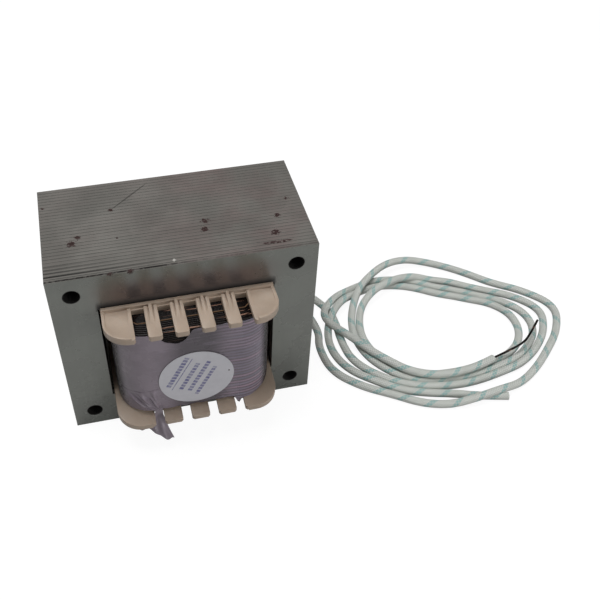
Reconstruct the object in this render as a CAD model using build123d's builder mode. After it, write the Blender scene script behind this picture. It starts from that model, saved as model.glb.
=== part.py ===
"""An open mains transformer: laminated E and I core, combed bobbin, film-wrapped winding, sleeved leads.

X runs along the core's width, Y through its stack and Z up the centre leg. The front face looks
along -Y. The origin is the centre of the core's base. Millimetres throughout.
"""

import math
import os

from build123d import *

os.makedirs("parts", exist_ok=True)

# Core: stamped sheets, stacked through Y
CENTRE_LEG = 38.0
OUTER_LEG = 19.0
WINDOW_WIDTH = 19.0
WINDOW_HEIGHT = 57.0
YOKE = 19.0
STACK = 60.0
BUNDLE_COUNT = 5
BUNDLE_GAP = 0.12
GROOVES = 5
GROOVE_WIDTH = 0.4
GROOVE_DEPTH = 0.25
BOLT_HOLE = 7.0
BOLT_INSET = 9.5

# Bobbin: one moulding on the centre leg
BORE_CLEARANCE = 0.3
BARREL_WALL = 1.6
BARREL_CORNER = 1.2
FLANGE_THICKNESS = 2.5
YOKE_CLEARANCE = 0.5
WINDOW_CLEARANCE = 1.0
FACE_GAP = 0.3

# Combs: the flanges' ends in front of and behind the core
COMB_REACH = 21.1
COMB_FLARE = 5.0
EAR_RADIUS = 11.0
EAR_RIM = 1.3
EAR_RIM_HEIGHT = 0.8
SLOT_ROOT = 3.1
TIP_CHAMFER = 0.8
STRIP_INSET = 0.4
STRIP_DEPTH = 1.9
STRIP_HEIGHT = 1.5
UPPER_SLOTS = 5
UPPER_PITCH = 11.0
UPPER_SLOT = 5.3
LOWER_SLOTS = 4
LOWER_PITCH = 12.4
LOWER_SLOT = 4.2

# Ridges on the fingers: wedges that fade out towards the tips
RIDGE_WIDTH = 1.4
RIDGE_INSET = 0.1
RIDGE_END = 12.5
CENTRE_RIDGE_HEIGHT = 2.1
EDGE_RIDGE_HEIGHT = 1.6
EDGE_RIDGE_START = 3.4

# Windings: concentric layers on the barrel, between the flanges
PRIMARY_BUILD = 6.6
INSULATION = 0.4
SECONDARY_BUILD = 6.7
FILM = 0.4
FILM_MARGIN = 0.3
TURN_GROOVES = 5
TURN_GROOVE_WIDTH = 0.8
TURN_GROOVE_DEPTH = 0.5
WINDING_CORNER_SIDES = 3

# Loose end of the film, hanging through the outermost slot of the lower comb at the front left
TAIL_SIDE_CLEARANCE = 0.3
TAIL_LENGTH = 17.0
TAIL_NECK = 5.0
TAIL_SPREAD_LEFT = 3.0
TAIL_SPREAD_RIGHT = 7.0
TAIL_SKEW = 2.5

# Round paper label on the front of the film
LABEL_DIAMETER = 33.5
LABEL_SIDES = 36
LABEL_THICKNESS = 0.15
LABEL_X = -0.5
LABEL_HEIGHT = 41.0

# Leads: glass-sleeved wires that leave the lower comb at the back and lie coiled on the ground
SLEEVE = 4.0
SLEEVE_SIDES = 6
WIRE = 1.1
WIRE_SIDES = 5
LEAD_EXIT_Y = 40.0
GROUND = 2.1
COIL_HEIGHT = 8.4
BEND_SHARE = 0.45
WIRE_SHELF = 4.2
WIRE_SHELF_LENGTH = 19.0
WIRE_SHELF_OUTSIDE = 2.2
WIRE_SHELF_INSIDE = 9.0

core_width = CENTRE_LEG + 2 * (WINDOW_WIDTH + OUTER_LEG)
core_height = WINDOW_HEIGHT + 2 * YOKE
core_front = STACK / 2
e_height = WINDOW_HEIGHT + YOKE
bundle_pitch = STACK / BUNDLE_COUNT
bundle_thickness = bundle_pitch - BUNDLE_GAP
window_centre = (CENTRE_LEG + WINDOW_WIDTH) / 2
bolt_spacing_x = core_width - 2 * BOLT_INSET

barrel_half_x = CENTRE_LEG / 2 + BORE_CLEARANCE + BARREL_WALL
barrel_half_y = STACK / 2 + BORE_CLEARANCE + BARREL_WALL
flange_width = CENTRE_LEG + 2 * (WINDOW_WIDTH - WINDOW_CLEARANCE)
flange_depth = STACK + 2 * FACE_GAP
bobbin_bottom = YOKE
bobbin_top = YOKE + WINDOW_HEIGHT - YOKE_CLEARANCE
winding_bottom = bobbin_bottom + FLANGE_THICKNESS
winding_top = bobbin_top - FLANGE_THICKNESS
winding_height = winding_top - winding_bottom
secondary_start = PRIMARY_BUILD + INSULATION
film_start = secondary_start + SECONDARY_BUILD
film_front = barrel_half_y + film_start + FILM


def save(piece, name):
    """Labels a finished piece and writes it as its own part."""
    piece.part.label = name
    export_step(piece.part, f"parts/{name}.step")


def cut_sheet_grooves(front, on_top, bottom, height):
    """Cuts the lines between sheets into a bundle's two ends, and into its top if it is the upper yoke."""
    pitch = bundle_thickness / (GROOVES + 1)
    places = [front + pitch * (index + 1) for index in range(GROOVES)]
    half = GROOVE_WIDTH / 2
    if on_top:
        with BuildSketch(Plane.YZ) as along_yoke:
            for y in places:
                with BuildLine():
                    Polyline(
                        (y - half, core_height),
                        (y + half, core_height),
                        (y, core_height - GROOVE_DEPTH),
                        close=True,
                    )
                make_face()
        extrude(along_yoke.sketch, amount=core_width / 2, both=True, mode=Mode.SUBTRACT)
    with BuildSketch(Plane.XY.offset(bottom)) as up_ends:
        for y in places:
            for side in (-1, 1):
                end = side * core_width / 2
                with BuildLine():
                    Polyline(
                        (end, y - half), (end, y + half), (end - side * GROOVE_DEPTH, y), close=True
                    )
                make_face()
    extrude(up_ends.sketch, amount=height, mode=Mode.SUBTRACT)


# E and I bundles: the E's yoke lies by turns at the top and at the bottom, and the I closes the legs
for number in range(1, BUNDLE_COUNT + 1):
    front = -core_front + (number - 1) * bundle_pitch + BUNDLE_GAP / 2
    sheet_plane = Plane(origin=(0, front, 0), x_dir=(1, 0, 0), z_dir=(0, -1, 0))
    yoke_on_top = number % 2 == 1
    e_bottom, i_bottom = (YOKE, 0) if yoke_on_top else (0, core_height - YOKE)
    e_holes, i_holes = BOLT_INSET, core_height - BOLT_INSET
    if yoke_on_top:
        e_holes, i_holes = i_holes, e_holes

    with BuildPart() as e_bundle:
        with BuildSketch(sheet_plane):
            with Locations((0, e_bottom)):
                Rectangle(core_width, e_height, align=(Align.CENTER, Align.MIN))
            with Locations((0, core_height / 2)):
                with GridLocations(2 * window_centre, 0, 2, 1):
                    Rectangle(WINDOW_WIDTH, WINDOW_HEIGHT, mode=Mode.SUBTRACT)
            with Locations((0, e_holes)):
                with GridLocations(bolt_spacing_x, 0, 2, 1):
                    Circle(BOLT_HOLE / 2, mode=Mode.SUBTRACT)
        extrude(amount=-bundle_thickness)
        cut_sheet_grooves(front, yoke_on_top, e_bottom, e_height)
    save(e_bundle, f"e_lamination_bundle_{number}")

    with BuildPart() as i_bundle:
        with BuildSketch(sheet_plane):
            with Locations((0, i_bottom)):
                Rectangle(core_width, YOKE, align=(Align.CENTER, Align.MIN))
            with Locations((0, i_holes)):
                with GridLocations(bolt_spacing_x, 0, 2, 1):
                    Circle(BOLT_HOLE / 2, mode=Mode.SUBTRACT)
        extrude(amount=-bundle_thickness)
        cut_sheet_grooves(front, not yoke_on_top, i_bottom, YOKE)
    save(i_bundle, f"i_lamination_bundle_{number}")


def comb_plane(outward, upward):
    """The plane of a comb's inner face: local -Y points outward and local Z away from the winding."""
    flare = math.radians(COMB_FLARE)
    return Plane(
        origin=(0, outward * flange_depth / 2, winding_top if upward > 0 else winding_bottom),
        x_dir=(-outward * upward, 0, 0),
        z_dir=(0, -outward * math.sin(flare), upward * math.cos(flare)),
    )


def ridge_planes(comb, places):
    """Planes across a comb at the given places: local X points outward and local Y away from it."""
    return [
        Plane(origin=comb.from_local_coords((x, 0, 0)), x_dir=-comb.y_dir, z_dir=-comb.x_dir)
        for x in places
    ]


def finger_places(slot_count, slot_pitch):
    """The middles of the fingers, which stand between neighbouring slots."""
    return [(index - (slot_count - 2) / 2) * slot_pitch for index in range(slot_count - 1)]


# Bobbin: barrel, two flanges inside the windows, and four combs
with BuildPart() as bobbin:
    with BuildSketch(Plane.XY.offset(bobbin_bottom)):
        RectangleRounded(2 * barrel_half_x, 2 * barrel_half_y, BARREL_CORNER)
    extrude(amount=bobbin_top - bobbin_bottom)
    for flange_bottom in (bobbin_bottom, winding_top):
        with BuildSketch(Plane.XY.offset(flange_bottom)):
            Rectangle(flange_width, flange_depth)
        extrude(amount=FLANGE_THICKNESS)

    for upward, slot_count, slot_pitch, slot_width in (
        (1, UPPER_SLOTS, UPPER_PITCH, UPPER_SLOT),
        (-1, LOWER_SLOTS, LOWER_PITCH, LOWER_SLOT),
    ):
        ear_inner = (slot_count - 1) * slot_pitch / 2 + slot_width / 2
        fingers = finger_places(slot_count, slot_pitch)
        finger_edge = (slot_pitch - slot_width - RIDGE_WIDTH) / 2 - RIDGE_INSET
        ear_edge = ear_inner + RIDGE_INSET + RIDGE_WIDTH / 2
        edge_ridges = [x + side * finger_edge for x in fingers for side in (-1, 1)]
        edge_ridges += [-ear_edge, ear_edge]

        for outward in (-1, 1):
            comb = comb_plane(outward, upward)
            outer_face = comb.offset(FLANGE_THICKNESS)

            # The comb's plate, with its slots open at the tips
            with BuildSketch(comb) as plate:
                Rectangle(flange_width, COMB_REACH, align=(Align.CENTER, Align.MAX))
                fillet(plate.vertices().group_by(Axis.Y)[0], EAR_RADIUS)
                with Locations((0, -COMB_REACH)):
                    with GridLocations(slot_pitch, 0, slot_count, 1):
                        Rectangle(
                            slot_width,
                            COMB_REACH - SLOT_ROOT,
                            align=(Align.CENTER, Align.MIN),
                            mode=Mode.SUBTRACT,
                        )
                tips = plate.vertices().group_by(Axis.Y)[0].filter_by(
                    lambda corner: abs(corner.X) < ear_inner + TIP_CHAMFER
                )
                chamfer(tips, TIP_CHAMFER)
            extrude(amount=FLANGE_THICKNESS)

            # A raised strip along the core's face
            with BuildSketch(outer_face):
                with Locations((0, -STRIP_INSET)):
                    Rectangle(flange_width, STRIP_DEPTH, align=(Align.CENTER, Align.MAX))
            extrude(amount=STRIP_HEIGHT)

            # A raised rim round each ear's outer edge
            with BuildSketch(outer_face) as rim:
                Rectangle(flange_width, COMB_REACH, align=(Align.CENTER, Align.MAX))
                fillet(rim.vertices().group_by(Axis.Y)[0], EAR_RADIUS)
                with BuildSketch(mode=Mode.SUBTRACT) as inside:
                    Rectangle(
                        flange_width - 2 * EAR_RIM,
                        COMB_REACH - EAR_RIM,
                        align=(Align.CENTER, Align.MAX),
                    )
                    fillet(inside.vertices().group_by(Axis.Y)[0], EAR_RADIUS - EAR_RIM)
                Rectangle(
                    2 * ear_edge + RIDGE_WIDTH,
                    COMB_REACH,
                    align=(Align.CENTER, Align.MAX),
                    mode=Mode.SUBTRACT,
                )
            extrude(amount=EAR_RIM_HEIGHT)

            # Wedge ridges: a tall one down the middle of each finger, lower ones along the edges
            for places, start, height in (
                (fingers, STRIP_INSET + STRIP_DEPTH, CENTRE_RIDGE_HEIGHT),
                (edge_ridges, EDGE_RIDGE_START, EDGE_RIDGE_HEIGHT),
            ):
                with BuildSketch(*ridge_planes(comb, places)):
                    with BuildLine():
                        Polyline(
                            (start, FLANGE_THICKNESS),
                            (start, FLANGE_THICKNESS + height),
                            (RIDGE_END, FLANGE_THICKNESS),
                            close=True,
                        )
                    make_face()
                extrude(amount=RIDGE_WIDTH / 2, both=True)

    # The bore for the centre leg
    with BuildSketch(Plane.XY.offset(bobbin_bottom)):
        Rectangle(CENTRE_LEG + 2 * BORE_CLEARANCE, STACK + 2 * BORE_CLEARANCE)
    extrude(amount=bobbin_top - bobbin_bottom, mode=Mode.SUBTRACT)
save(bobbin, "bobbin")


def layer_outline(outset):
    """The winding's outline that far out from the barrel, with round corners that grow with it."""
    with BuildSketch() as outline:
        RectangleRounded(
            2 * (barrel_half_x + outset), 2 * (barrel_half_y + outset), BARREL_CORNER + outset
        )
    return outline.sketch


def faceted_outline(outset):
    """The same outline with each round corner as a few flats between places on it."""
    corners = []
    for index, (side_x, side_y) in enumerate(((1, 1), (-1, 1), (-1, -1), (1, -1))):
        for step in range(WINDING_CORNER_SIDES + 1):
            angle = math.pi / 2 * (index + step / WINDING_CORNER_SIDES)
            corners.append(
                (
                    side_x * (barrel_half_x - BARREL_CORNER) + (BARREL_CORNER + outset) * math.cos(angle),
                    side_y * (barrel_half_y - BARREL_CORNER) + (BARREL_CORNER + outset) * math.sin(angle),
                )
            )
    with BuildSketch() as outline:
        with BuildLine():
            Polyline(*corners, close=True)
        make_face()
    return outline.sketch


def buried_outline(outset):
    """The same outline under the outer winding, with each round corner cut as one flat along it."""
    corner_flat = (2 - math.sqrt(2)) * (BARREL_CORNER + outset)
    with BuildSketch() as outline:
        Rectangle(2 * (barrel_half_x + outset), 2 * (barrel_half_y + outset))
        chamfer(outline.vertices(), corner_flat)
    return outline.sketch


# Primary winding and the insulation over it, each one ring of its own thickness
for name, start, thickness in (
    ("primary_winding", 0, PRIMARY_BUILD),
    ("winding_insulation", PRIMARY_BUILD, INSULATION),
):
    with BuildPart() as layer:
        with BuildSketch(Plane.XY.offset(winding_bottom)):
            add(buried_outline(start + thickness))
            add(buried_outline(start), mode=Mode.SUBTRACT)
        extrude(amount=winding_height)
    save(layer, name)

# Secondary winding, with the main grooves between its turns
with BuildPart() as secondary:
    with BuildSketch(Plane.XY.offset(winding_bottom)):
        add(faceted_outline(film_start))
        add(buried_outline(secondary_start), mode=Mode.SUBTRACT)
    extrude(amount=winding_height)
    groove_pitch = winding_height / (TURN_GROOVES + 1)
    for index in range(TURN_GROOVES):
        groove_bottom = winding_bottom + (index + 1) * groove_pitch - TURN_GROOVE_WIDTH / 2
        with BuildSketch(Plane.XY.offset(groove_bottom)):
            add(faceted_outline(film_start))
            add(faceted_outline(film_start - TURN_GROOVE_DEPTH), mode=Mode.SUBTRACT)
        extrude(amount=TURN_GROOVE_WIDTH, mode=Mode.SUBTRACT)
save(secondary, "secondary_winding")

# Film wrap, a little short of both flanges, with its loose end through a slot of the lower comb
tail_x = -(LOWER_SLOTS - 1) * LOWER_PITCH / 2
tail_half = LOWER_SLOT / 2 - TAIL_SIDE_CLEARANCE
film_bottom = winding_bottom + FILM_MARGIN
with BuildPart() as film_wrap:
    with BuildSketch(Plane.XY.offset(film_bottom)):
        add(layer_outline(film_start + FILM))
        add(layer_outline(film_start), mode=Mode.SUBTRACT)
    extrude(amount=winding_height - 2 * FILM_MARGIN)
    with BuildSketch(Plane(origin=(tail_x, -film_front, film_bottom), x_dir=(1, 0, 0), z_dir=(0, -1, 0))):
        with BuildLine():
            Polyline(
                (-tail_half, FILM_MARGIN),
                (-tail_half, -TAIL_NECK),
                (-tail_half - TAIL_SPREAD_LEFT, -TAIL_LENGTH + TAIL_SKEW),
                (tail_half + TAIL_SPREAD_RIGHT, -TAIL_LENGTH),
                (tail_half, -TAIL_NECK),
                (tail_half, FILM_MARGIN),
                close=True,
            )
        make_face()
    extrude(amount=-FILM)
save(film_wrap, "outer_film_wrap")

# Label, flat on the front of the film
with BuildPart() as label:
    with BuildSketch(Plane(origin=(LABEL_X, -film_front, LABEL_HEIGHT), x_dir=(1, 0, 0), z_dir=(0, -1, 0))):
        RegularPolygon(LABEL_DIAMETER / 2, LABEL_SIDES)
    extrude(amount=LABEL_THICKNESS)
save(label, "round_label")

# Lead routes: down through the lower comb at the back, then along the ground to the coil
slot_a = (LOWER_SLOTS - 1) * LOWER_PITCH / 2
slot_b = slot_a - LOWER_PITCH
ROUTE_A = [
    (slot_a, LEAD_EXIT_Y, winding_bottom),
    (slot_a, LEAD_EXIT_Y, 12.0),
    (slot_a + 2.0, LEAD_EXIT_Y + 6.0, 4.6),
    (29.0, 49.5, GROUND),
    (42.0, 48.0, GROUND),
    (54.5, 41.5, GROUND),
    (63.5, 31.0, GROUND),
    (69.5, 15.5, GROUND),
    (72.0, 0.5, GROUND),
]
ROUTE_B = [
    (slot_b, LEAD_EXIT_Y, winding_bottom),
    (slot_b, LEAD_EXIT_Y, 12.0),
    (slot_b + 2.0, LEAD_EXIT_Y + 6.5, 4.6),
    (16.0, 55.0, GROUND),
    (31.0, 60.0, GROUND),
    (47.0, 57.0, GROUND),
    (60.0, 46.0, GROUND),
    (72.0, 31.5, GROUND),
    (81.0, 16.5, GROUND),
]


def bend_radii(route):
    """The bend at each inner point that takes up a set share of the shorter run beside it."""
    points = [Vector(*point) for point in route]
    runs = [after - before for before, after in zip(points, points[1:])]
    return [
        BEND_SHARE * min(one.length, two.length) / math.tan(math.radians(one.get_angle(two)) / 2)
        for one, two in zip(runs, runs[1:])
    ]


def strand(route, diameter, sides):
    """A plain strand of many-sided section along a route of straight runs and tangent bends."""
    with BuildPart() as tube:
        with BuildLine() as path:
            FilletPolyline(*route, radius=bend_radii(route))
        with BuildSketch(Plane(origin=path.line @ 0, z_dir=path.line % 0)):
            section = RegularPolygon(diameter / 2, sides)
        sweep()
    length = path.wire().length
    share = tube.part.volume / (section.area * length)
    print("route length", round(length, 1), "volume share", round(share, 4))
    print("bend radii", [round(radius, 1) for radius in bend_radii(route)])
    return tube


lead_a = strand(ROUTE_A, SLEEVE, SLEEVE_SIDES)
save(lead_a, "lead_a_sleeve")
lead_b = strand(ROUTE_B, SLEEVE, SLEEVE_SIDES)
save(lead_b, "lead_b_sleeve")

# Coil of both leads: the outer shape of the loose turns on the ground, by its radii at even angles
COIL_CENTRE = (135.0, -9.0)
COIL_OUTSIDE = [70.0, 49.0, 48.0, 54.0, 53.0, 59.0, 69.0, 64.0, 57.0, 55.0, 57.0, 61.0]
COIL_INSIDE = [40.0, 25.0, 20.0, 20.0, 27.0, 39.0, 40.0, 37.0, 34.0, 31.0, 32.0, 41.0]
WIRE_ROUTE = [
    (152.5, -39.2, 6.2),
    (162.0, -36.6, 6.2),
    (170.6, -35.4, 9.2),
    (176.6, -30.7, 9.3),
    (184.8, -22.6, 9.4),
]


def coil_points(radii):
    """The corners at even angles about the coil's centre, each at its radius."""
    step = 2 * math.pi / len(radii)
    return [
        (
            COIL_CENTRE[0] + radius * math.cos(index * step),
            COIL_CENTRE[1] + radius * math.sin(index * step),
        )
        for index, radius in enumerate(radii)
    ]


seat = 4 * SLEEVE
wire_shelf = Plane(
    origin=(*WIRE_ROUTE[0][:2], WIRE_SHELF),
    x_dir=Vector(*WIRE_ROUTE[1]) - Vector(*WIRE_ROUTE[0]),
    z_dir=(0, 0, 1),
)
with BuildPart() as coil:
    with BuildSketch():
        with BuildLine():
            Polyline(*coil_points(COIL_OUTSIDE), close=True)
        make_face()
        with BuildLine():
            Polyline(*coil_points(COIL_INSIDE), close=True)
        make_face(mode=Mode.SUBTRACT)
    extrude(amount=COIL_HEIGHT)
    # Flat seats where the two sleeves come in
    for route in (ROUTE_A, ROUTE_B):
        with BuildSketch(Plane(origin=route[-1], z_dir=Vector(*route[-1]) - Vector(*route[-2]))):
            Rectangle(seat, seat)
        extrude(amount=-seat, mode=Mode.SUBTRACT)
    # A shelf in the upper turns, where a sleeve ends and its bare wire goes on
    with BuildSketch(wire_shelf):
        with Locations((0, -WIRE_SHELF_OUTSIDE)):
            Rectangle(
                WIRE_SHELF_LENGTH,
                WIRE_SHELF_OUTSIDE + WIRE_SHELF_INSIDE,
                align=(Align.MIN, Align.MIN),
            )
    extrude(amount=COIL_HEIGHT, mode=Mode.SUBTRACT)
save(coil, "lead_coil")

bare_wire = strand(WIRE_ROUTE, WIRE, WIRE_SIDES)
save(bare_wire, "lead_a_bare_wire")
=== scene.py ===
"""Dresses an open mains transformer: steel core, moulded bobbin, wound wire, film, label and sleeved leads.

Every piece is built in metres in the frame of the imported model. Lengths in the fields below are in
millimetres, as on a drawing, and MM turns them into metres.
"""

from __future__ import annotations

import logging
import math
import operator
from dataclasses import dataclass
from enum import Enum
from functools import reduce
from typing import TypeAlias

import bmesh
import bpy
import numpy as np
from mathutils import Matrix, Vector

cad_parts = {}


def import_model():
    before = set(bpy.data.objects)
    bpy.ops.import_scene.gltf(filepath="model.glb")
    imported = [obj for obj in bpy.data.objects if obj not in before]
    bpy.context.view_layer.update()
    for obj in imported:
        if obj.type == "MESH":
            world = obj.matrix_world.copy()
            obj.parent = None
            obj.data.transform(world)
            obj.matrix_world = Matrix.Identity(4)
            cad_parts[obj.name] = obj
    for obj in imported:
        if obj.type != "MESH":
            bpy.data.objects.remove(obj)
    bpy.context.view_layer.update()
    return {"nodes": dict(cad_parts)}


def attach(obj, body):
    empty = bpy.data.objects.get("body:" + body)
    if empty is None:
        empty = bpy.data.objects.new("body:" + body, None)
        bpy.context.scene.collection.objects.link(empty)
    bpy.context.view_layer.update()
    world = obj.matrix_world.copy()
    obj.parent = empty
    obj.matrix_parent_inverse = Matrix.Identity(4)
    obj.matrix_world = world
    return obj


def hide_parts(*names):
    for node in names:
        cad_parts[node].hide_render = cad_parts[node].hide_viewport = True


Colour: TypeAlias = tuple[float, float, float, float]
Point: TypeAlias = tuple[float, float, float]
Nodes: TypeAlias = dict[str, bpy.types.Object]
Fed: TypeAlias = "Value | float | Point | Colour"
Feeds: TypeAlias = "dict[str | int, Fed]"

LOG = logging.getLogger("transformer")
MM = 0.001
ROOT = "root"
ORIGIN: Point = (0.0, 0.0, 0.0)
EVEN: Point = (1.0, 1.0, 1.0)
WHITE: Colour = (1.0, 1.0, 1.0, 1.0)
CORE_TOP = 95.0
RUST_BROKEN = 2.6
MERGE = 1e-7
SHARP_FROM = math.radians(55)
LINE_STEPS = 8
SETTLED_PART = 12


def tone(red: int, green: int, blue: int) -> Colour:
    """Turns a display tone into the linear colour that a shader takes, by the sRGB curve.

    Args:
        red: Red from 0 to 255.
        green: Green from 0 to 255.
        blue: Blue from 0 to 255.

    Returns:
        The linear colour with full alpha.
    """
    display = np.array([red, green, blue]) / 255
    linear = np.where(display <= 0.04045, display / 12.92, ((display + 0.055) / 1.055) ** 2.4)
    return (*(float(value) for value in linear), 1.0)


class Slot(Enum):
    """The record's material slots."""

    CORE = "core_steel"
    BOBBIN = "bobbin_plastic"
    WIRE = "enamelled_wire"
    PAPER = "insulation_paper"
    FILM = "wrapping_film"
    LABEL = "label_paper"
    SLEEVE = "glass_sleeve"


class Kind(Enum):
    """The kinds of value that go into and come out of a shared effect."""

    NUMBER = "NodeSocketFloat"
    VECTOR = "NodeSocketVector"
    COLOUR = "NodeSocketColor"


class Graph:
    """Adds nodes to one shader tree and links them."""

    def __init__(self, tree: bpy.types.NodeTree) -> None:
        """Takes the tree to add to."""
        self.tree = tree

    @classmethod
    def empty(cls, owner: bpy.types.Material | bpy.types.World) -> Graph:
        """Turns on the nodes of a material or a world and clears them.

        Args:
            owner: The material or world.

        Returns:
            Its tree, ready to be filled.
        """
        owner.use_nodes = True
        owner.node_tree.nodes.clear()
        return cls(owner.node_tree)

    def add(self, kind: str, feeds: Feeds | None = None, **settings: object) -> bpy.types.Node:
        """Adds one node, and links its inputs to values of this tree or sets them to plain ones.

        Args:
            kind: The node's type name.
            feeds: What goes into its inputs, by name or number.
            settings: Its own settings, by attribute.

        Returns:
            The new node.
        """
        node = self.tree.nodes.new(kind)
        for name, setting in settings.items():
            setattr(node, name, setting)
        for key, fed in (feeds or {}).items():
            if isinstance(fed, Value):
                self.tree.links.new(fed.socket, node.inputs[key])
            else:
                node.inputs[key].default_value = fed
        return node

    def read(self, node: bpy.types.Node, output: str | int = 0) -> Value:
        """Takes one output of a node as a value."""
        return Value(self, node.outputs[output])

    def out(
        self, kind: str, feeds: Feeds | None = None, output: str | int = 0, **settings: object
    ) -> Value:
        """Adds one node and takes one of its outputs."""
        return self.read(self.add(kind, feeds, **settings), output)

    def math(self, operation: str, *values: Fed) -> Value:
        """Adds a Math node on one or two values."""
        return self.out("ShaderNodeMath", dict(enumerate(values)), operation=operation)

    def vector(self, operation: str, first: Value, second: Fed = ORIGIN) -> Value:
        """Adds a Vector Math node on two vectors."""
        return self.out("ShaderNodeVectorMath", {0: first, 1: second}, operation=operation)

    def scaled(self, vector: Value, size: Fed) -> Value:
        """Multiplies a vector by one number."""
        return self.out("ShaderNodeVectorMath", {0: vector, 3: size}, operation="SCALE")

    def mix(self, share: Fed, first: Fed, second: Fed, blend: str = "MIX") -> Value:
        """Mixes two colours, where the share tells how much of the second shows."""
        feeds = {0: share, 6: first, 7: second}
        return self.out("ShaderNodeMix", feeds, 2, data_type="RGBA", blend_type=blend)

    def framed(self, place: Value, middle: Point, turn: Point, size: Point = EVEN) -> Value:
        """Reads a place in a mark's own frame: from its middle, turned back and divided by its size."""
        feeds = {"Vector": place, "Location": middle, "Rotation": turn, "Scale": size}
        return self.out("ShaderNodeMapping", feeds, vector_type="TEXTURE")

    def millimetres(self) -> Value:
        """Gives the piece's own Object coordinates in millimetres."""
        return self.scaled(self.out("ShaderNodeTexCoord", output="Object"), 1 / MM)

    def bump(self, height: Value, depth: float, strength: float = 1.0) -> Value:
        """Bends the normal by a height, of which 1 is the depth in millimetres."""
        feeds = {"Height": height, "Distance": depth * MM, "Strength": strength}
        return self.out("ShaderNodeBump", feeds)


@dataclass(frozen=True)
class Value:
    """One output in a shader tree, on which arithmetic adds nodes to that tree."""

    graph: Graph
    socket: bpy.types.NodeSocket

    def math(self, operation: str, *others: Fed) -> Value:
        """Adds a Math node that starts from this value."""
        return self.graph.math(operation, self, *others)

    def __add__(self, other: Fed) -> Value:
        """Adds another value."""
        return self.math("ADD", other)

    def __sub__(self, other: Fed) -> Value:
        """Takes another value off."""
        return self.math("SUBTRACT", other)

    def __rsub__(self, other: float) -> Value:
        """Takes this value off a plain number."""
        return self.graph.math("SUBTRACT", other, self)

    def __mul__(self, other: Fed) -> Value:
        """Multiplies by another value."""
        return self.math("MULTIPLY", other)

    def __truediv__(self, other: Fed) -> Value:
        """Divides by another value."""
        return self.math("DIVIDE", other)

    def __mod__(self, other: float) -> Value:
        """Gives what is left over whole steps of a number."""
        return self.math("FLOORED_MODULO", other)

    def __or__(self, other: Value) -> Value:
        """Gives the larger of two masks."""
        return self.math("MAXIMUM", other)

    def __abs__(self) -> Value:
        """Drops the sign."""
        return self.math("ABSOLUTE")

    def floor(self) -> Value:
        """Gives the whole part."""
        return self.math("FLOOR")

    def fract(self) -> Value:
        """Gives what is left over the whole part."""
        return self.math("FRACT")

    def hump(self) -> Value:
        """Gives the sine of half a turn for each whole step."""
        return (self * math.pi).math("SINE")

    def chance(self) -> Value:
        """Gives a fixed random number for each whole step."""
        return self.graph.out("ShaderNodeTexWhiteNoise", {"W": self.floor()}, noise_dimensions="1D")

    def parts(self) -> tuple[Value, ...]:
        """Splits a vector into its three numbers."""
        node = self.graph.add("ShaderNodeSeparateXYZ", {0: self})
        return tuple(Value(self.graph, socket) for socket in node.outputs)

    def mix(self, first: Fed, second: Fed) -> Value:
        """Mixes two colours, with this value as the second one's share."""
        return self.graph.mix(self, first, second)

    def shade(self, gain: Value) -> Value:
        """Multiplies this colour by a value."""
        return self.graph.mix(1.0, self, gain, "MULTIPLY")


def joined(masks: list[Value]) -> Value:
    """Joins masks by the largest one at each place."""
    return reduce(operator.or_, masks)


@dataclass(frozen=True)
class Ramp:
    """A smooth step: a value of low gives start, a value of high gives end, and it eases between them."""

    low: float
    high: float
    start: float = 0.0
    end: float = 1.0

    def of(self, value: Value) -> Value:
        """Puts a value through the step."""
        feeds = {0: value, 1: self.low, 2: self.high, 3: self.start, 4: self.end}
        return value.graph.out("ShaderNodeMapRange", feeds, interpolation_type="SMOOTHSTEP")


@dataclass(frozen=True)
class Cloud:
    """A 3-D noise, which averages one half, on a place that is stretched first."""

    scale: Fed
    detail: float = 3.0
    roughness: float = 0.5
    stretch: Point = EVEN

    def at(self, place: Value, output: int = 0) -> Value:
        """Reads the noise at a place.

        Args:
            place: The place in millimetres.
            output: 0 for one number, 1 for a colour of three.

        Returns:
            The noise.
        """
        if self.stretch != EVEN:
            place = place.graph.vector("MULTIPLY", place, self.stretch)
        feeds = {"Vector": place, "Scale": self.scale, "Detail": self.detail, "Roughness": self.roughness}
        return place.graph.out("ShaderNodeTexNoise", feeds, output)


@dataclass(frozen=True)
class Patches:
    """Patches that show by a noise: the noise and the step that it goes through."""

    cloud: Cloud
    ramp: Ramp

    def at(self, place: Value) -> Value:
        """Gives how much shows at a place."""
        return self.ramp.of(self.cloud.at(place))


@dataclass(frozen=True)
class Effect:
    """A shared surface effect at a place, kept as one node group with named inputs and outputs."""

    title: str
    takes: dict[str, Kind]
    gives: dict[str, Kind]

    def wire(self, taken: dict[str, Value]) -> Feeds:
        """Builds the inside of the group.

        Args:
            taken: The group's inputs by name.

        Returns:
            What each output is fed with, by name.
        """
        raise NotImplementedError

    def tree(self) -> bpy.types.NodeTree:
        """Finds the group, and builds it when it is first asked for.

        Returns:
            The group's tree.
        """
        known = bpy.data.node_groups.get(self.title)
        if known:
            return known
        tree = bpy.data.node_groups.new(self.title, "ShaderNodeTree")
        for side, sockets in (("INPUT", self.takes), ("OUTPUT", self.gives)):
            for name, kind in sockets.items():
                tree.interface.new_socket(name=name, in_out=side, socket_type=kind.value)
        graph = Graph(tree)
        source = graph.add("NodeGroupInput")
        taken = {name: graph.read(source, name) for name in self.takes}
        graph.add("NodeGroupOutput", self.wire(taken))
        return tree

    def put(self, place: Value, **feeds: Fed) -> dict[str, Value]:
        """Places the effect in a material.

        Args:
            place: The place in millimetres.
            feeds: What goes into the group's other inputs, by name. An input that isn't named is zero.

        Returns:
            The group's outputs by name.
        """
        graph = place.graph
        node = graph.add("ShaderNodeGroup", {"Place": place, **feeds}, node_tree=self.tree())
        return {name: graph.read(node, name) for name in self.gives}


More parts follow.
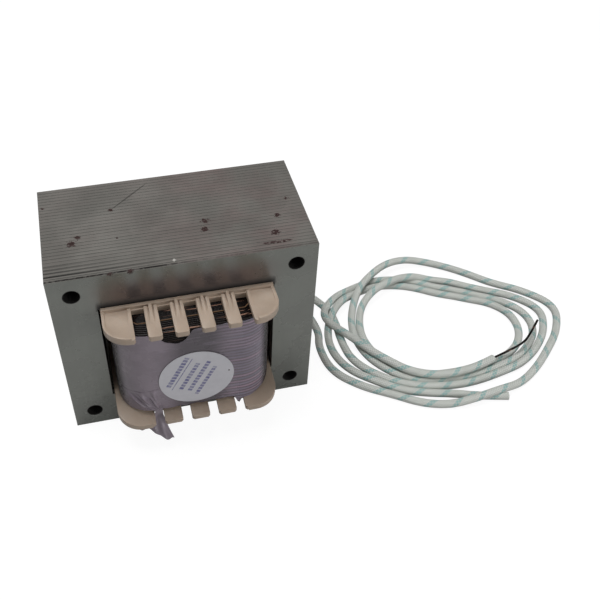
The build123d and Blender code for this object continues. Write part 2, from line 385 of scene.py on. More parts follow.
class UnevenTone(Effect):
    """Soft mottling: a noise makes a colour lighter and darker by up to the given share."""

    SWING = Ramp(0.3, 0.7, -1.0, 1.0)

    def wire(self, taken: dict[str, Value]) -> Feeds:
        """Multiplies the colour by one plus the share times the noise's swing about zero.

        Args:
            taken: The place, the noise's scale, the share and the colour.

        Returns:
            The mottled colour and the noise.
        """
        cloud = Cloud(taken["Scale"], detail=4.0, roughness=0.6).at(taken["Place"])
        gain = self.SWING.of(cloud) * taken["Share"] + 1.0
        return {"Colour": taken["Colour"].shade(gain), "Cloud": cloud}


class RaggedSpot(Effect):
    """A spot with a ragged rim: full about its centre, with place and rim moved by noises."""

    SHAKE = Cloud(0.9, detail=3.0, roughness=0.65)
    FLECKS = Cloud(1.3, detail=4.0, roughness=0.7)
    AVERAGE = (0.5, 0.5, 0.5)
    FULL = 0.75
    RIM = Ramp(-0.05, 0.12)

    def wire(self, taken: dict[str, Value]) -> Feeds:
        """Takes the shaken place's distance as a share of the size, and lets a noise move the rim.

        Args:
            taken: The place, the centre, the size, how far the place is shaken and how much the rim breaks.

        Returns:
            The spot's mask.
        """
        place = taken["Place"]
        graph = place.graph
        shake = graph.vector("SUBTRACT", self.SHAKE.at(place, 1), self.AVERAGE)
        moved = graph.vector("ADD", place, graph.scaled(shake, taken["Ragged"]))
        away = graph.out("ShaderNodeVectorMath", {0: moved, 1: taken["Centre"]}, 1, operation="DISTANCE")
        fleck = (self.FLECKS.at(place) - self.AVERAGE[0]) * taken["Broken"]
        return {"Mask": self.RIM.of(fleck + (self.FULL - away / taken["Size"]))}


class FineGrain(Effect):
    """A fine surface grain: two noises, one a quarter as coarse as the other, added as a height."""

    FINER = 4.0
    FINE_SHARE = 0.5

    def wire(self, taken: dict[str, Value]) -> Feeds:
        """Adds half of the fine noise to the coarse one.

        Args:
            taken: The place and the coarse noise's scale.

        Returns:
            The grain's height.
        """
        coarse = Cloud(taken["Scale"], detail=2.0).at(taken["Place"])
        fine = Cloud(taken["Scale"] * self.FINER, detail=2.0).at(taken["Place"])
        return {"Height": fine * self.FINE_SHARE + coarse}


class PrintedBar(Effect):
    """A plain bar of print: full where the place is within the half size of the centre on both axes."""

    RIM = Ramp(1.06, 0.96)

    def wire(self, taken: dict[str, Value]) -> Feeds:
        """Takes the larger of the two axes' distances from the centre as shares of the half size.

        Args:
            taken: The place, the bar's centre and its half size.

        Returns:
            The bar's mask.
        """
        graph = taken["Place"].graph
        away = graph.vector("ABSOLUTE", graph.vector("SUBTRACT", taken["Place"], taken["Centre"]))
        along, _, across = graph.vector("DIVIDE", away, taken["Half"]).parts()
        return {"Mask": self.RIM.of(along | across)}


UNEVEN = UnevenTone(
    "uneven tone",
    {"Place": Kind.VECTOR, "Scale": Kind.NUMBER, "Share": Kind.NUMBER, "Colour": Kind.COLOUR},
    {"Colour": Kind.COLOUR, "Cloud": Kind.NUMBER},
)
SPOT = RaggedSpot(
    "ragged spot",
    {
        "Place": Kind.VECTOR, "Centre": Kind.VECTOR, "Size": Kind.NUMBER, "Ragged": Kind.NUMBER,
        "Broken": Kind.NUMBER,
    },
    {"Mask": Kind.NUMBER},
)
GRAIN = FineGrain("fine grain", {"Place": Kind.VECTOR, "Scale": Kind.NUMBER}, {"Height": Kind.NUMBER})
BAR = PrintedBar(
    "printed bar",
    {"Place": Kind.VECTOR, "Centre": Kind.VECTOR, "Half": Kind.VECTOR},
    {"Mask": Kind.NUMBER},
)


@dataclass(frozen=True)
class Mottle:
    """How a finish is mottled: the noise's scale and the share of the tone that it changes."""

    scale: float
    share: float

    def over(self, place: Value, colour: Fed) -> dict[str, Value]:
        """Gives the mottled colour and the cloud that mottles it."""
        return UNEVEN.put(place, Scale=self.scale, Share=self.share, Colour=colour)


@dataclass(frozen=True)
class Grain:
    """A finish's fine grain: the noise's scale and its depth."""

    scale: float
    depth: float

    def height(self, place: Value) -> Value:
        """Gives the grain's height."""
        return GRAIN.put(place, Scale=self.scale)["Height"]

    def normal(self, place: Value) -> Value:
        """Bends the normal by the grain."""
        return place.graph.bump(self.height(place), self.depth)


@dataclass(frozen=True)
class Mark:
    """A small ragged mark: its centre, its size, how far its rim strays and how much noise breaks it."""

    centre: Point
    size: float
    ragged: float
    broken: float = 0.0

    def mask(self, place: Value) -> Value:
        """Gives the mark's mask, a ragged spot."""
        spot = SPOT.put(place, Centre=self.centre, Size=self.size, Ragged=self.ragged, Broken=self.broken)
        return spot["Mask"]


@dataclass(frozen=True)
class LongMark:
    """A long thin mark: its middle, its half length, half width and half height, and its turn about Z."""

    middle: Point
    reach: Point
    turn: float = 0.0
    ragged: float = 0.7

    def mask(self, place: Value) -> Value:
        """Gives the mark's mask: a ragged spot of size 1 in a turned frame that the reach divides."""
        local = place.graph.framed(place, self.middle, (0.0, 0.0, self.turn), self.reach)
        return SPOT.put(local, Size=1.0, Ragged=self.ragged)["Mask"]


@dataclass(frozen=True)
class OpenJoint:
    """A joint that gapes at the left: its place in the stack, where it closes and how dark it gets."""

    depth: float
    closes: float
    dark: float


@dataclass(frozen=True)
class PrintRow:
    """A row of print on the label: its middle, its half sizes and whether it is one solid rule."""

    along: float
    across: float
    half_length: float
    half_width: float
    solid: bool = False
    half_depth: float = 50.0

    def mask(self, local: Value, blocks: Value) -> Value:
        """Gives the row's mask, which the blocks break up unless it is solid.

        Args:
            local: The place in the label's frame.
            blocks: The mask of the blocks along the row.

        Returns:
            The row's mask.
        """
        half = (self.half_length, self.half_depth, self.half_width)
        bar = BAR.put(local, Centre=(self.along, 0.0, self.across), Half=half)["Mask"]
        return bar if self.solid else bar * blocks


def rust_mark(across: float, along: float, size: float, ragged: float) -> Mark:
    """Gives a broken rust mark on the top of the core."""
    return Mark((across, along, CORE_TOP), size, ragged, RUST_BROKEN)


@dataclass(frozen=True)
class Finish:
    """A named finish, which becomes one material."""

    slot: Slot

    def surface(self, place: Value) -> Feeds:
        """Works out the finish.

        Args:
            place: The place on the piece, in millimetres.

        Returns:
            What feeds the inputs of the material's Principled BSDF, by name.
        """
        raise NotImplementedError

    def material(self) -> bpy.types.Material:
        """Finds the finish's material, and builds it when it is first asked for.

        Returns:
            The material.
        """
        name = f"{self.slot.value}_finish"
        known = bpy.data.materials.get(name)
        if known:
            return known
        material = bpy.data.materials.new(name)
        graph = Graph.empty(material)
        shader = graph.out("ShaderNodeBsdfPrincipled", self.surface(graph.millimetres()))
        graph.add("ShaderNodeOutputMaterial", {"Surface": shader})
        return material

    def dress(self, piece: bpy.types.Object) -> None:
        """Gives a piece this finish in all its material slots.

        Args:
            piece: The piece to dress.
        """
        material = self.material()
        if not piece.material_slots:
            piece.data.materials.append(material)
        for holder in piece.material_slots:
            holder.material = material


@dataclass(frozen=True)
class SteelFinish(Finish):
    """Stamped electrical steel: grey faces, and edges lined by the sheets, with rust and scratches."""

    face: Colour = tone(119, 121, 116)
    edge: Colour = tone(136, 133, 128)
    blush: Colour = tone(136, 122, 119)
    # painted reflection: the brownish tone of the comb as it shows in the steel above the window
    comb_reflection_tone: Colour = tone(112, 99, 97)
    gap: Colour = tone(40, 38, 36)
    rust: Colour = tone(46, 19, 16)
    bright: Colour = tone(215, 212, 206)
    # painted shade: the dark tone of the bolt holes' walls and of the band above the window
    painted_shade_tone: Colour = tone(26, 24, 23)
    mottle: Mottle = Mottle(0.045, 0.07)
    gloss: Ramp = Ramp(0.3, 0.7, 0.3, 0.4)
    bare: Ramp = Ramp(0.0, 1.0, 0.5, 0.0)
    rust_dulls: float = 0.35
    painted_shade_dulls: float = 0.4
    face_shines: float = 0.07
    grain: Grain = Grain(2.2, 0.03)
    grain_share: float = 0.5
    relief: float = 0.4
    face_turn: Ramp = Ramp(0.6, 0.9)
    streaks: Patches = Patches(Cloud(1.0, 4.0, stretch=(0.5, 0.5, 0.03)), Ramp(0.3, 0.7, 0.985, 1.015))
    sheet: float = 0.99
    sheet_spread: Ramp = Ramp(16.0, -22.0, 0.03, 0.08)
    joint: Ramp = Ramp(0.26, 0.5)
    joint_least: float = 0.07
    joint_more: float = 0.26
    joint_fade: Patches = Patches(Cloud(1.0, 2.0, stretch=(0.035, 0.9, 0.035)), Ramp(0.3, 0.65, 0.3, 1.0))
    joint_near: Ramp = Ramp(16.0, -22.0, 0.15, 1.0)
    open_joints: tuple[OpenJoint, ...] = (
        OpenJoint(-26.5, 12.0, 0.98),
        OpenJoint(-24.3, -4.0, 0.7),
        OpenJoint(-22.5, -14.0, 0.5),
        OpenJoint(-20.6, -30.0, 0.4),
    )
    open_width: Ramp = Ramp(0.6, 0.2)
    open_left: float = -54.0
    first_joint: float = -29.2
    first_width: Ramp = Ramp(0.7, 0.3)
    first_breaks: Patches = Patches(Cloud(0.5, 4.0, 0.7), Ramp(0.4, 0.5, 0.5, 1.0))
    first_side: Ramp = Ramp(6.0, -12.0, 0.45, 1.0)
    blush_patches: Patches = Patches(Cloud(0.05), Ramp(0.3, 0.7))
    blush_side: Ramp = Ramp(-30.0, 30.0, 0.15, 0.9)
    # where the painted reflection of the comb lies: its top, its foot and how it fades to the sides
    reflection_top: Ramp = Ramp(94.0, 84.0)
    reflection_foot: Ramp = Ramp(70.0, 76.0)
    reflection_sides: Ramp = Ramp(44.0, 26.0, 0.0, 0.8)
    hole_across: float = 47.5
    hole_middle: float = 47.5
    hole_up: float = 38.0
    hole_wall: Ramp = Ramp(3.85, 3.55)
    # where the painted shade band above the window lies
    shade_band_sides: Ramp = Ramp(39.2, 37.5)
    shade_band_rise: Ramp = Ramp(81.0, 77.2, 0.0, 0.92)
    shade_band_from: float = 75.0
    marks: tuple[Mark, ...] = (
        rust_mark(-44.6, -8.1, 2.3, 4.0),
        rust_mark(-41.5, -4.9, 1.7, 3.4),
        rust_mark(12.6, -5.5, 2.1, 4.0),
        rust_mark(11.3, -10.6, 2.0, 4.0),
        rust_mark(40.9, -19.1, 2.3, 4.0),
        rust_mark(44.0, -8.2, 1.7, 3.6),
        rust_mark(50.8, 2.3, 1.5, 3.4),
        rust_mark(-55.3, 17.6, 0.9, 1.6),
        rust_mark(-25.5, -8.4, 0.7, 1.4),
        rust_mark(-26.3, 10.5, 1.3, 2.4),
        rust_mark(-31.0, -30.0, 1.4, 2.4),
        rust_mark(-22.5, -30.0, 1.8, 3.0),
    )
    seam: LongMark = LongMark((40.0, -25.2, CORE_TOP), (9.0, 1.3, 3.0))
    seam_breaks: Patches = Patches(Cloud(1.1, 4.0, 0.7), Ramp(0.42, 0.52))
    speckle: Patches = Patches(Cloud(0.42, 6.0, 0.75), Ramp(0.71, 0.76, 0.0, 0.7))
    scratch: LongMark = LongMark((-17.1, 18.6, CORE_TOP), (16.0, 0.6, 2.0), math.radians(41.2))
    scratch_dark: float = 0.55
    nick: Mark = Mark((-4.3, -27.0, CORE_TOP), 0.9, 2.4, 1.5)

    def rusted(self, place: Value) -> Value:
        """Gathers all rust: the single marks, the line near the front edge and a sparse fine speckle.

        Args:
            place: The place in millimetres.

        Returns:
            The rust's mask.
        """
        masks = [mark.mask(place) for mark in self.marks]
        masks.append(self.seam.mask(place) * self.seam_breaks.at(place))
        masks.append(self.speckle.at(place))
        return joined(masks)

    def blushed(self, place: Value, across: Value) -> Value:
        """Gives the sheet edges' tone: a slow noise lets thin rust show, more towards the right."""
        share = self.blush_patches.at(place) * self.blush_side.of(across)
        return share.mix(self.edge, self.blush)

    def painted_reflection(self, across: Value, up: Value) -> Value:
        """Gives the painted reflection of the comb above the window: a brownish darkening that fades
        towards the top and both sides.
        """
        rise = self.reflection_top.of(up) * self.reflection_foot.of(up)
        return rise * self.reflection_sides.of(abs(across))

    def painted_shade(self, across: Value, up: Value, flat: Value) -> Value:
        """Finds where shade is painted: the bolt holes' walls and a band on the faces just above the
        window.

        A hole's wall is where the distance from the nearest hole's axis is about the hole's radius.

        Args:
            across: The place from left to right.
            up: The height.
            flat: The mask of the sheets' faces.

        Returns:
            The mask of both.
        """
        side = abs(across) - self.hole_across
        rise = abs(up - self.hole_middle) - self.hole_up
        wall = self.hole_wall.of((side * side + rise * rise).math("SQRT"))
        upper = up.math("GREATER_THAN", self.shade_band_from) * flat
        return wall | self.shade_band_sides.of(abs(across)) * self.shade_band_rise.of(up) * upper

    def sheet_lines(self, place: Value, count: Value) -> Value:
        """Draws the joints between sheets as fine lines, which open into dark gaps at the front left.

        Args:
            place: The place in millimetres.
            count: The place along the stack in sheets.

        Returns:
            How dark the joint is.
        """
        across, along, _ = place.parts()
        near = self.joint_fade.at(place) * self.joint_near.of(along)
        faint = ((count + 0.5).chance() * self.joint_more + self.joint_least) * near
        masks = [self.joint.of(abs(count.fract() - 0.5)) * faint]
        for joint in self.open_joints:
            shown = Ramp(joint.closes, self.open_left, 0.0, joint.dark).of(across)
            masks.append(self.open_width.of(abs(along - joint.depth)) * shown)
        edge = self.first_width.of(abs(along - self.first_joint)) * self.first_breaks.at(place)
        masks.append(edge * self.first_side.of(across))
        return joined(masks)

    def surface(self, place: Value) -> Feeds:
        """Splits faces from sheet edges by the normal, and lines the edges by the place along the stack.

        Args:
            place: The place in millimetres.

        Returns:
            What feeds the shader.
        """
        across, along, up = place.parts()
        _, facing, _ = place.graph.out("ShaderNodeNewGeometry", output="True Normal").parts()
        flat = self.face_turn.of(abs(facing))
        count = along / self.sheet
        lines = self.sheet_lines(place, count)
        own = (count.chance() - 0.5) * self.sheet_spread.of(along) + 1.0
        cut = lines.mix(self.blushed(place, across).shade(own), self.gap)
        # painted reflection of the comb, mixed over the face tone above the window, then streaked
        reflected_face = self.painted_reflection(across, up).mix(self.face, self.comb_reflection_tone).shade(self.streaks.at(place))
        mottled = self.mottle.over(place, flat.mix(cut, reflected_face))
        worn = (self.scratch.mask(place) * self.scratch_dark).mix(mottled["Colour"], self.gap)
        rust = self.rusted(place)
        marked = self.nick.mask(place).mix(rust.mix(worn, self.rust), self.bright)
        # painted shade in the bolt holes and above the window: darker, duller and less metallic
        dark = self.painted_shade(across, up, flat)
        dull = self.gloss.of(mottled["Cloud"]) + rust * self.rust_dulls + dark * self.painted_shade_dulls
        height = self.grain.height(place) * self.grain_share + lines * (flat - 1.0)
        return {
            "Base Color": dark.mix(marked, self.painted_shade_tone),
            "Roughness": dull - flat * self.face_shines,
            "Metallic": self.bare.of(rust | dark),
            "Normal": place.graph.bump(height, self.grain.depth, self.relief),
        }


@dataclass(frozen=True)
class PlasticFinish(Finish):
    """Moulded cream plastic: a soft gloss, faint flow mottling and a trace of handling dirt."""

    body: Colour = tone(179, 161, 144)
    dirt: Colour = tone(122, 101, 82)
    mottle: Mottle = Mottle(0.12, 0.05)
    soil: Patches = Patches(Cloud(0.55, 5.0, 0.7), Ramp(0.62, 0.78, 0.0, 0.5))
    gloss: Ramp = Ramp(0.3, 0.7, 0.38, 0.52)
    glow: float = 0.12
    glow_tint: Point = (1.0, 0.7, 0.5)
    glow_depth: float = 1.2
    grain: Grain = Grain(2.5, 0.03)

    def surface(self, place: Value) -> Feeds:
        """Mottles the body colour, adds sparse dirt and a fine moulded grain.

        Args:
            place: The place in millimetres.

        Returns:
            What feeds the shader.
        """
        mottled = self.mottle.over(place, self.body)
        return {
            "Base Color": self.soil.at(place).mix(mottled["Colour"], self.dirt),
            "Roughness": self.gloss.of(mottled["Cloud"]),
            "Subsurface Weight": self.glow,
            "Subsurface Radius": self.glow_tint,
            "Subsurface Scale": self.glow_depth * MM,
            "Normal": self.grain.normal(place),
        }


@dataclass(frozen=True)
class EnamelFinish(Finish):
    """Enamelled copper wire: dark red-brown lacquer over copper, with darker turns and pale copper turns
    that are partly bare copper and partly painted glints.
    """

    lacquer: Colour = tone(15, 8, 7)
    # pale copper, partly the bare metal and partly painted glints
    copper: Colour = tone(196, 152, 130)
    mottle: Mottle = Mottle(0.35, 0.3)
    copper_and_glint_turns: Patches = Patches(Cloud(1.0, 2.0, stretch=(0.05, 0.9, 0.9)), Ramp(0.61, 0.71, 0.0, 0.7))
    gloss: Ramp = Ramp(0.3, 0.7, 0.24, 0.4)
    metal: float = 0.15
    shine: float = 0.2
    coat: float = 0.06
    coat_roughness: float = 0.2

    def surface(self, place: Value) -> Feeds:
        """Varies the lacquer's tone along the turns, and lets some turns show pale copper, partly bare
        copper and partly painted glints.

        Args:
            place: The place in millimetres.

        Returns:
            What feeds the shader.
        """
        mottled = self.mottle.over(place, self.lacquer)
        return {
            # pale turns: partly bare copper, partly painted glints
            "Base Color": self.copper_and_glint_turns.at(place).mix(mottled["Colour"], self.copper),
            "Roughness": self.gloss.of(mottled["Cloud"]),
            "Metallic": self.metal,
            "Specular IOR Level": self.shine,
            "Coat Weight": self.coat,
            "Coat Roughness": self.coat_roughness,
        }


@dataclass(frozen=True)
class PaperFinish(Finish):
    """Insulation paper: matt tan fibre board with a cloudy fibre pattern."""

    body: Colour = tone(112, 84, 58)
    mottle: Mottle = Mottle(0.8, 0.12)
    roughness: float = 0.8
    grain: Grain = Grain(3.0, 0.05)

    def surface(self, place: Value) -> Feeds:
        """Mottles the paper at the size of its fibres and roughens it.

        Args:
            place: The place in millimetres.

        Returns:
            What feeds the shader.
        """
        return {
            "Base Color": self.mottle.over(place, self.body)["Colour"],
            "Roughness": self.roughness,
            "Normal": self.grain.normal(place),
        }


@dataclass(frozen=True)
class FilmFinish(Finish):
    """Clear wrapping film over the winding: a grey lilac veil with a soft gloss and cloudy thickness."""

    veil: Colour = tone(136, 126, 135)
    thin: Colour = tone(97, 91, 97)
    fold: Colour = tone(164, 152, 168)
    # rose and blue painted highlights on the crowns of the film's bands
    rose_highlight: Colour = tone(196, 164, 184)
    blue: Colour = tone(160, 164, 192)
    # painted shade on the film's sides, where they turn into the gap by the core's legs
    deep: Colour = tone(66, 61, 64)
    mottle: Mottle = Mottle(0.06, 0.1)
    gloss: Ramp = Ramp(0.3, 0.7, 0.2, 0.32)
    cover: Ramp = Ramp(0.3, 0.7, 0.88, 0.96)
    shine: float = 0.35
    creases: Cloud = Cloud(0.5, 4.0, 0.6, stretch=(0.12, 0.12, 1.0))
    crease_show: Ramp = Ramp(0.55, 0.75, 0.0, 0.5)
    crease_depth: float = 0.2
    crease_relief: float = 0.4
    # a tone that goes lighter to the left and darker to the right, by x
    layers: Ramp = Ramp(-28.0, 28.0, 1.2, 0.86)
    thin_middle: float = 1.0
    thin_reach: Ramp = Ramp(16.0, 5.0)
    side_shade_middle: float = -1.0
    side_shade_reach: Ramp = Ramp(29.5, 33.5)
    band_pitch: float = 1.9
    band_slope: float = 0.05
    # where and how strongly the painted highlights show on the band crowns
    highlight_crown: Ramp = Ramp(0.5, 1.0)
    highlight_side: Ramp = Ramp(6.0, 20.0)
    highlight_least: float = 0.25
    highlight_more: float = 0.5

    def highlighted_bands(self, across: Value, up: Value, colour: Value) -> Value:
        """Paints highlights on the crowns of the film's bands towards the right, each band's highlight rose
        or blue by its number.

        Args:
            across: The place from left to right.
            up: The height.
            colour: The film's own colour.

        Returns:
            The colour with the painted highlights.
        """
        count = (across * self.band_slope + up) / self.band_pitch
        chance = count.chance()
        strong = chance * self.highlight_more + self.highlight_least
        share = self.highlight_crown.of(abs(count.hump())) * self.highlight_side.of(across)
        return (share * strong).mix(colour, chance.mix(self.blue, self.rose_highlight))

    def surface(self, place: Value) -> Feeds:
        """Thickens the veil by a noise, makes it lighter to the left and darker to the right, darkens it
        where it is thin, paints shade on its sides and paints highlights on its bands.

        Args:
            place: The place in millimetres.

        Returns:
            What feeds the shader.
        """
        across, _, up = place.parts()
        mottled = self.mottle.over(place, self.veil)
        creased = self.creases.at(place)
        # lighter to the left, darker to the right
        tilted = mottled["Colour"].shade(self.layers.of(across))
        stretched = self.thin_reach.of(abs(across - self.thin_middle)).mix(tilted, self.thin)
        folded = self.crease_show.of(creased).mix(stretched, self.fold)
        # painted shade on the film's sides
        side = self.side_shade_reach.of(abs(across - self.side_shade_middle))
        return {
            "Base Color": side.mix(self.highlighted_bands(across, up, folded), self.deep),
            "Alpha": self.cover.of(mottled["Cloud"]),
            "Roughness": self.gloss.of(mottled["Cloud"]),
            "Specular IOR Level": self.shine,
            "Normal": place.graph.bump(creased, self.crease_depth, self.crease_relief),
        }


@dataclass(frozen=True)
class LabelFinish(Finish):
    """A white paper sticker with rows of plain faded blue blocks for print and one small dark dot."""

    paper: Colour = tone(211, 210, 216)
    ink: Colour = tone(84, 84, 140)
    dot: Colour = tone(52, 46, 48)
    mottle: Mottle = Mottle(0.15, 0.04)
    middle: Point = (-0.5, -46.0, 41.0)
    turn: float = math.radians(-62)
    rows: tuple[PrintRow, ...] = (
        PrintRow(0.5, 9.6, 10.0, 1.1),
        PrintRow(0.0, 7.2, 10.5, 0.22, solid=True),
        PrintRow(-0.5, 3.4, 9.0, 1.0),
        PrintRow(1.0, -0.8, 10.0, 1.0),
        PrintRow(-1.0, -5.0, 9.5, 0.9),
    )
    block: float = 1.9
    block_rim: Ramp = Ramp(0.42, 0.34)
    wear: Patches = Patches(Cloud(0.5, 3.0, 0.6), Ramp(0.35, 0.65, 0.55, 0.9))
    dot_mark: Mark = Mark((14.1, -46.0, 42.2), 0.7, 0.3)
    roughness: float = 0.5
    grain: Grain = Grain(1.5, 0.03)

    def surface(self, place: Value) -> Feeds:
        """Lays the rows in a frame turned on the label's middle, and wears the ink with a noise.

        Args:
            place: The place in millimetres.

        Returns:
            What feeds the shader.
        """
        local = place.graph.framed(place, self.middle, (0.0, self.turn, 0.0))
        run, _, _ = local.parts()
        blocks = self.block_rim.of(abs((run / self.block).fract() - 0.5))
        printed = joined([row.mask(local, blocks) for row in self.rows]) * self.wear.at(place)
        inked = printed.mix(self.mottle.over(place, self.paper)["Colour"], self.ink)
        return {
            "Base Color": self.dot_mark.mask(place).mix(inked, self.dot),
            "Roughness": self.roughness,
            "Normal": self.grain.normal(place),
        }


@dataclass(frozen=True)
class SleeveFinish(Finish):
    """Braided glass sleeve: off-white yarns that cross over and under, with neighbouring teal tracers."""

    yarn: Colour = tone(217, 220, 214)
    shade: Colour = tone(158, 164, 157)
    tracer: Colour = tone(132, 184, 182)
    mottle: Mottle = Mottle(0.25, 0.05)
    gloss: Ramp = Ramp(0.3, 0.7, 0.5, 0.65)
    sheen: float = 0.15
    carriers: float = 9.0
    pitch: float = 1.4
    yarn_shade: Ramp = Ramp(0.75, 0.1, 0.0, 0.8)
    yarn_depth: float = 0.22
    yarn_relief: float = 0.8
    tracers: float = 1.5
    tracer_dip: float = 0.65
    tracer_show: Ramp = Ramp(0.1, 0.6, 0.35, 0.9)

    def surface(self, place: Value) -> Feeds:
        """Braids two sets of yarns on the sleeve's own UV map: turns round it by millimetres along it.

        One set counts carriers times the turn plus the length over the pitch, the other minus it. The
        whole parts number the yarns, and the sum of both numbers tells which set is on top. The tracers are
        the first yarns of the one set, and show faintly where they dip under the other.

        Args:
            place: The place in millimetres.

        Returns:
            What feeds the shader.
        """
        graph = place.graph
        around, along, _ = graph.out("ShaderNodeTexCoord", output="UV").parts()
        turn, climb = around * self.carriers, along / self.pitch
        right, left = turn + climb, turn - climb
        number = right.floor()
        on_top = (number + left.floor()) % 2.0
        height = graph.out("ShaderNodeMix", {0: on_top, 2: right.fract().hump(), 3: left.fract().hump()})
        dyed_yarn = (number % self.carriers).math("LESS_THAN", self.tracers)
        traced = dyed_yarn * (1.0 - on_top * self.tracer_dip)
        mottled = self.mottle.over(place, self.yarn)
        deep = self.yarn_shade.of(height).mix(mottled["Colour"], self.shade)
        return {
            "Base Color": (traced * self.tracer_show.of(height)).mix(deep, self.tracer),
            "Roughness": self.gloss.of(mottled["Cloud"]),
            "Sheen Weight": self.sheen,
            "Normal": graph.bump(height, self.yarn_depth, self.yarn_relief),
        }


STEEL = SteelFinish(Slot.CORE)
PLASTIC = PlasticFinish(Slot.BOBBIN)
ENAMEL = EnamelFinish(Slot.WIRE)
PAPER = PaperFinish(Slot.PAPER)
FILM = FilmFinish(Slot.FILM)
STICKER = LabelFinish(Slot.LABEL)
BRAID = SleeveFinish(Slot.SLEEVE)


def new_object(name: str, data: bpy.types.ID) -> bpy.types.Object:
    """Puts a mesh, a lamp or a camera into the scene.

    Args:
        name: The object's name.
        data: What it holds.

    Returns:
        The new object.
    """
    thing = bpy.data.objects.new(name, data)
    bpy.context.scene.collection.objects.link(thing)
    return thing


def add_piece(name: str, mesh: bpy.types.Mesh, finish: Finish) -> bpy.types.Object:
    """Puts a mesh into the scene as a finished piece that rides on the part.

    Args:
        name: The piece's name.
        mesh: Its mesh, already in place.
        finish: What it is dressed in.

    Returns:
        The new object.
    """
    piece = new_object(name, mesh)
    finish.dress(piece)
    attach(piece, ROOT)
    LOG.info("%s: %d faces", name, len(mesh.polygons))
    return piece


def dress_node(nodes: Nodes, name: str, finish: Finish) -> None:
    """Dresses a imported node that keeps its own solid."""
    finish.dress(nodes[name])
    LOG.info("%s: dressed", name)


def corners(grid: np.ndarray) -> np.ndarray:
    """Gives the four corners of each cell of a grid, in order round the cell."""
    return np.stack((grid[:-1, :-1], grid[:-1, 1:], grid[1:, 1:], grid[1:, :-1]), axis=2)


def surface_mesh(
    name: str, points: np.ndarray, loop_rows: bool = False, uv: np.ndarray | None = None
) -> bpy.types.Mesh:
    """Makes a smooth closed mesh from a grid of points, whose columns always run round in a ring.

    Args:
        name: The mesh's name.
        points: Rows by columns by three, in metres.
        loop_rows: Whether the last row joins the first.
        uv: Rows by columns plus one by two, for a pattern that follows the surface.

    Returns:
        The mesh, with doubled points at its poles merged and its faces pointing outwards.
    """
    rows, columns = points.shape[:2]
    number = np.arange(rows * columns).reshape(rows, columns)
    number = np.column_stack([number, number[:, 0]])
    if loop_rows:
        number = np.vstack([number, number[0]])
    mesh = bpy.data.meshes.new(name)
    mesh.from_pydata(points.reshape(-1, 3).tolist(), [], corners(number).reshape(-1, 4).tolist())
    if uv is not None:
        layer = mesh.uv_layers.new(name="UVMap")
        layer.data.foreach_set("uv", corners(uv).astype(np.float32).ravel())
    work = bmesh.new()
    work.from_mesh(mesh)
    bmesh.ops.remove_doubles(work, verts=work.verts, dist=MERGE)
    bmesh.ops.recalc_face_normals(work, faces=work.faces)
    work.to_mesh(mesh)
    work.free()
    mesh.shade_smooth()
    mesh.set_sharp_from_angle(angle=SHARP_FROM)
    return mesh


@dataclass(frozen=True)
class Ripple:
    """A wave over two places: an amount times the sine of a share of each place plus a phase."""

    amount: float
    by_first: float
    by_second: float = 0.0
    phase: float = 0.0

    def at(self, first: np.ndarray, second: np.ndarray) -> np.ndarray:
        """Gives the wave at pairs of places."""
        return self.amount * np.sin(self.by_first * first + self.by_second * second + self.phase)


@dataclass
class Core:
    """The stacked E and I sheets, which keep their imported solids."""

    bundles: int = 5

    def build(self, nodes: Nodes) -> None:
        """Dresses every bundle in steel.

        Args:
            nodes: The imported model's nodes by name.
        """
        for number in range(1, self.bundles + 1):
            for letter in "ei":
                dress_node(nodes, f"{letter}_lamination_bundle_{number}", STEEL)


@dataclass
class Bobbin:
    """The one-piece moulding with its four combs, as a copy whose edges are softened."""

    edge: float = 0.28
    edge_steps: int = 2
    edge_from: float = math.radians(28)
    flat_within: float = math.radians(0.5)
    merge: float = 1e-6

    def build(self, nodes: Nodes) -> None:
        """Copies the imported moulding, joins its triangles and rounds its edges.

        Args:
            nodes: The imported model's nodes by name.
        """
        mesh = nodes["bobbin"].data.copy()
        mesh.name = "moulded_bobbin"
        work = bmesh.new()
        work.from_mesh(mesh)
        bmesh.ops.remove_doubles(work, verts=work.verts, dist=self.merge)
        bmesh.ops.dissolve_limit(work, angle_limit=self.flat_within, verts=work.verts, edges=work.edges)
        work.to_mesh(mesh)
        work.free()
        piece = add_piece("moulded_bobbin", mesh, PLASTIC)
        mesh.shade_smooth()
        bevel = piece.modifiers.new("softened edges", "BEVEL")
        bevel.width = self.edge * MM
        bevel.segments = self.edge_steps
        bevel.limit_method = "ANGLE"
        bevel.angle_limit = self.edge_from
        bevel.harden_normals = True
        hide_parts("bobbin")


@dataclass(frozen=True)
class Ring:
    """Places round an outline, as two arrays of places by two: the outline and its outward unit vectors."""

    outline: np.ndarray
    outward: np.ndarray

    def stand_off(self, reach: np.ndarray, height: np.ndarray) -> np.ndarray:
        """Carries a section round the outline: each point stands out by its reach, at its height.

        Args:
            reach: Places by section points, in millimetres.
            height: The same, or one height for each section point.

        Returns:
            Places by section points by three, in metres.
        """
        points = np.empty((*reach.shape, 3))
        points[..., :2] = self.outline[:, None] + self.outward[:, None] * reach[..., None]
        points[..., 2] = height
        return points * MM


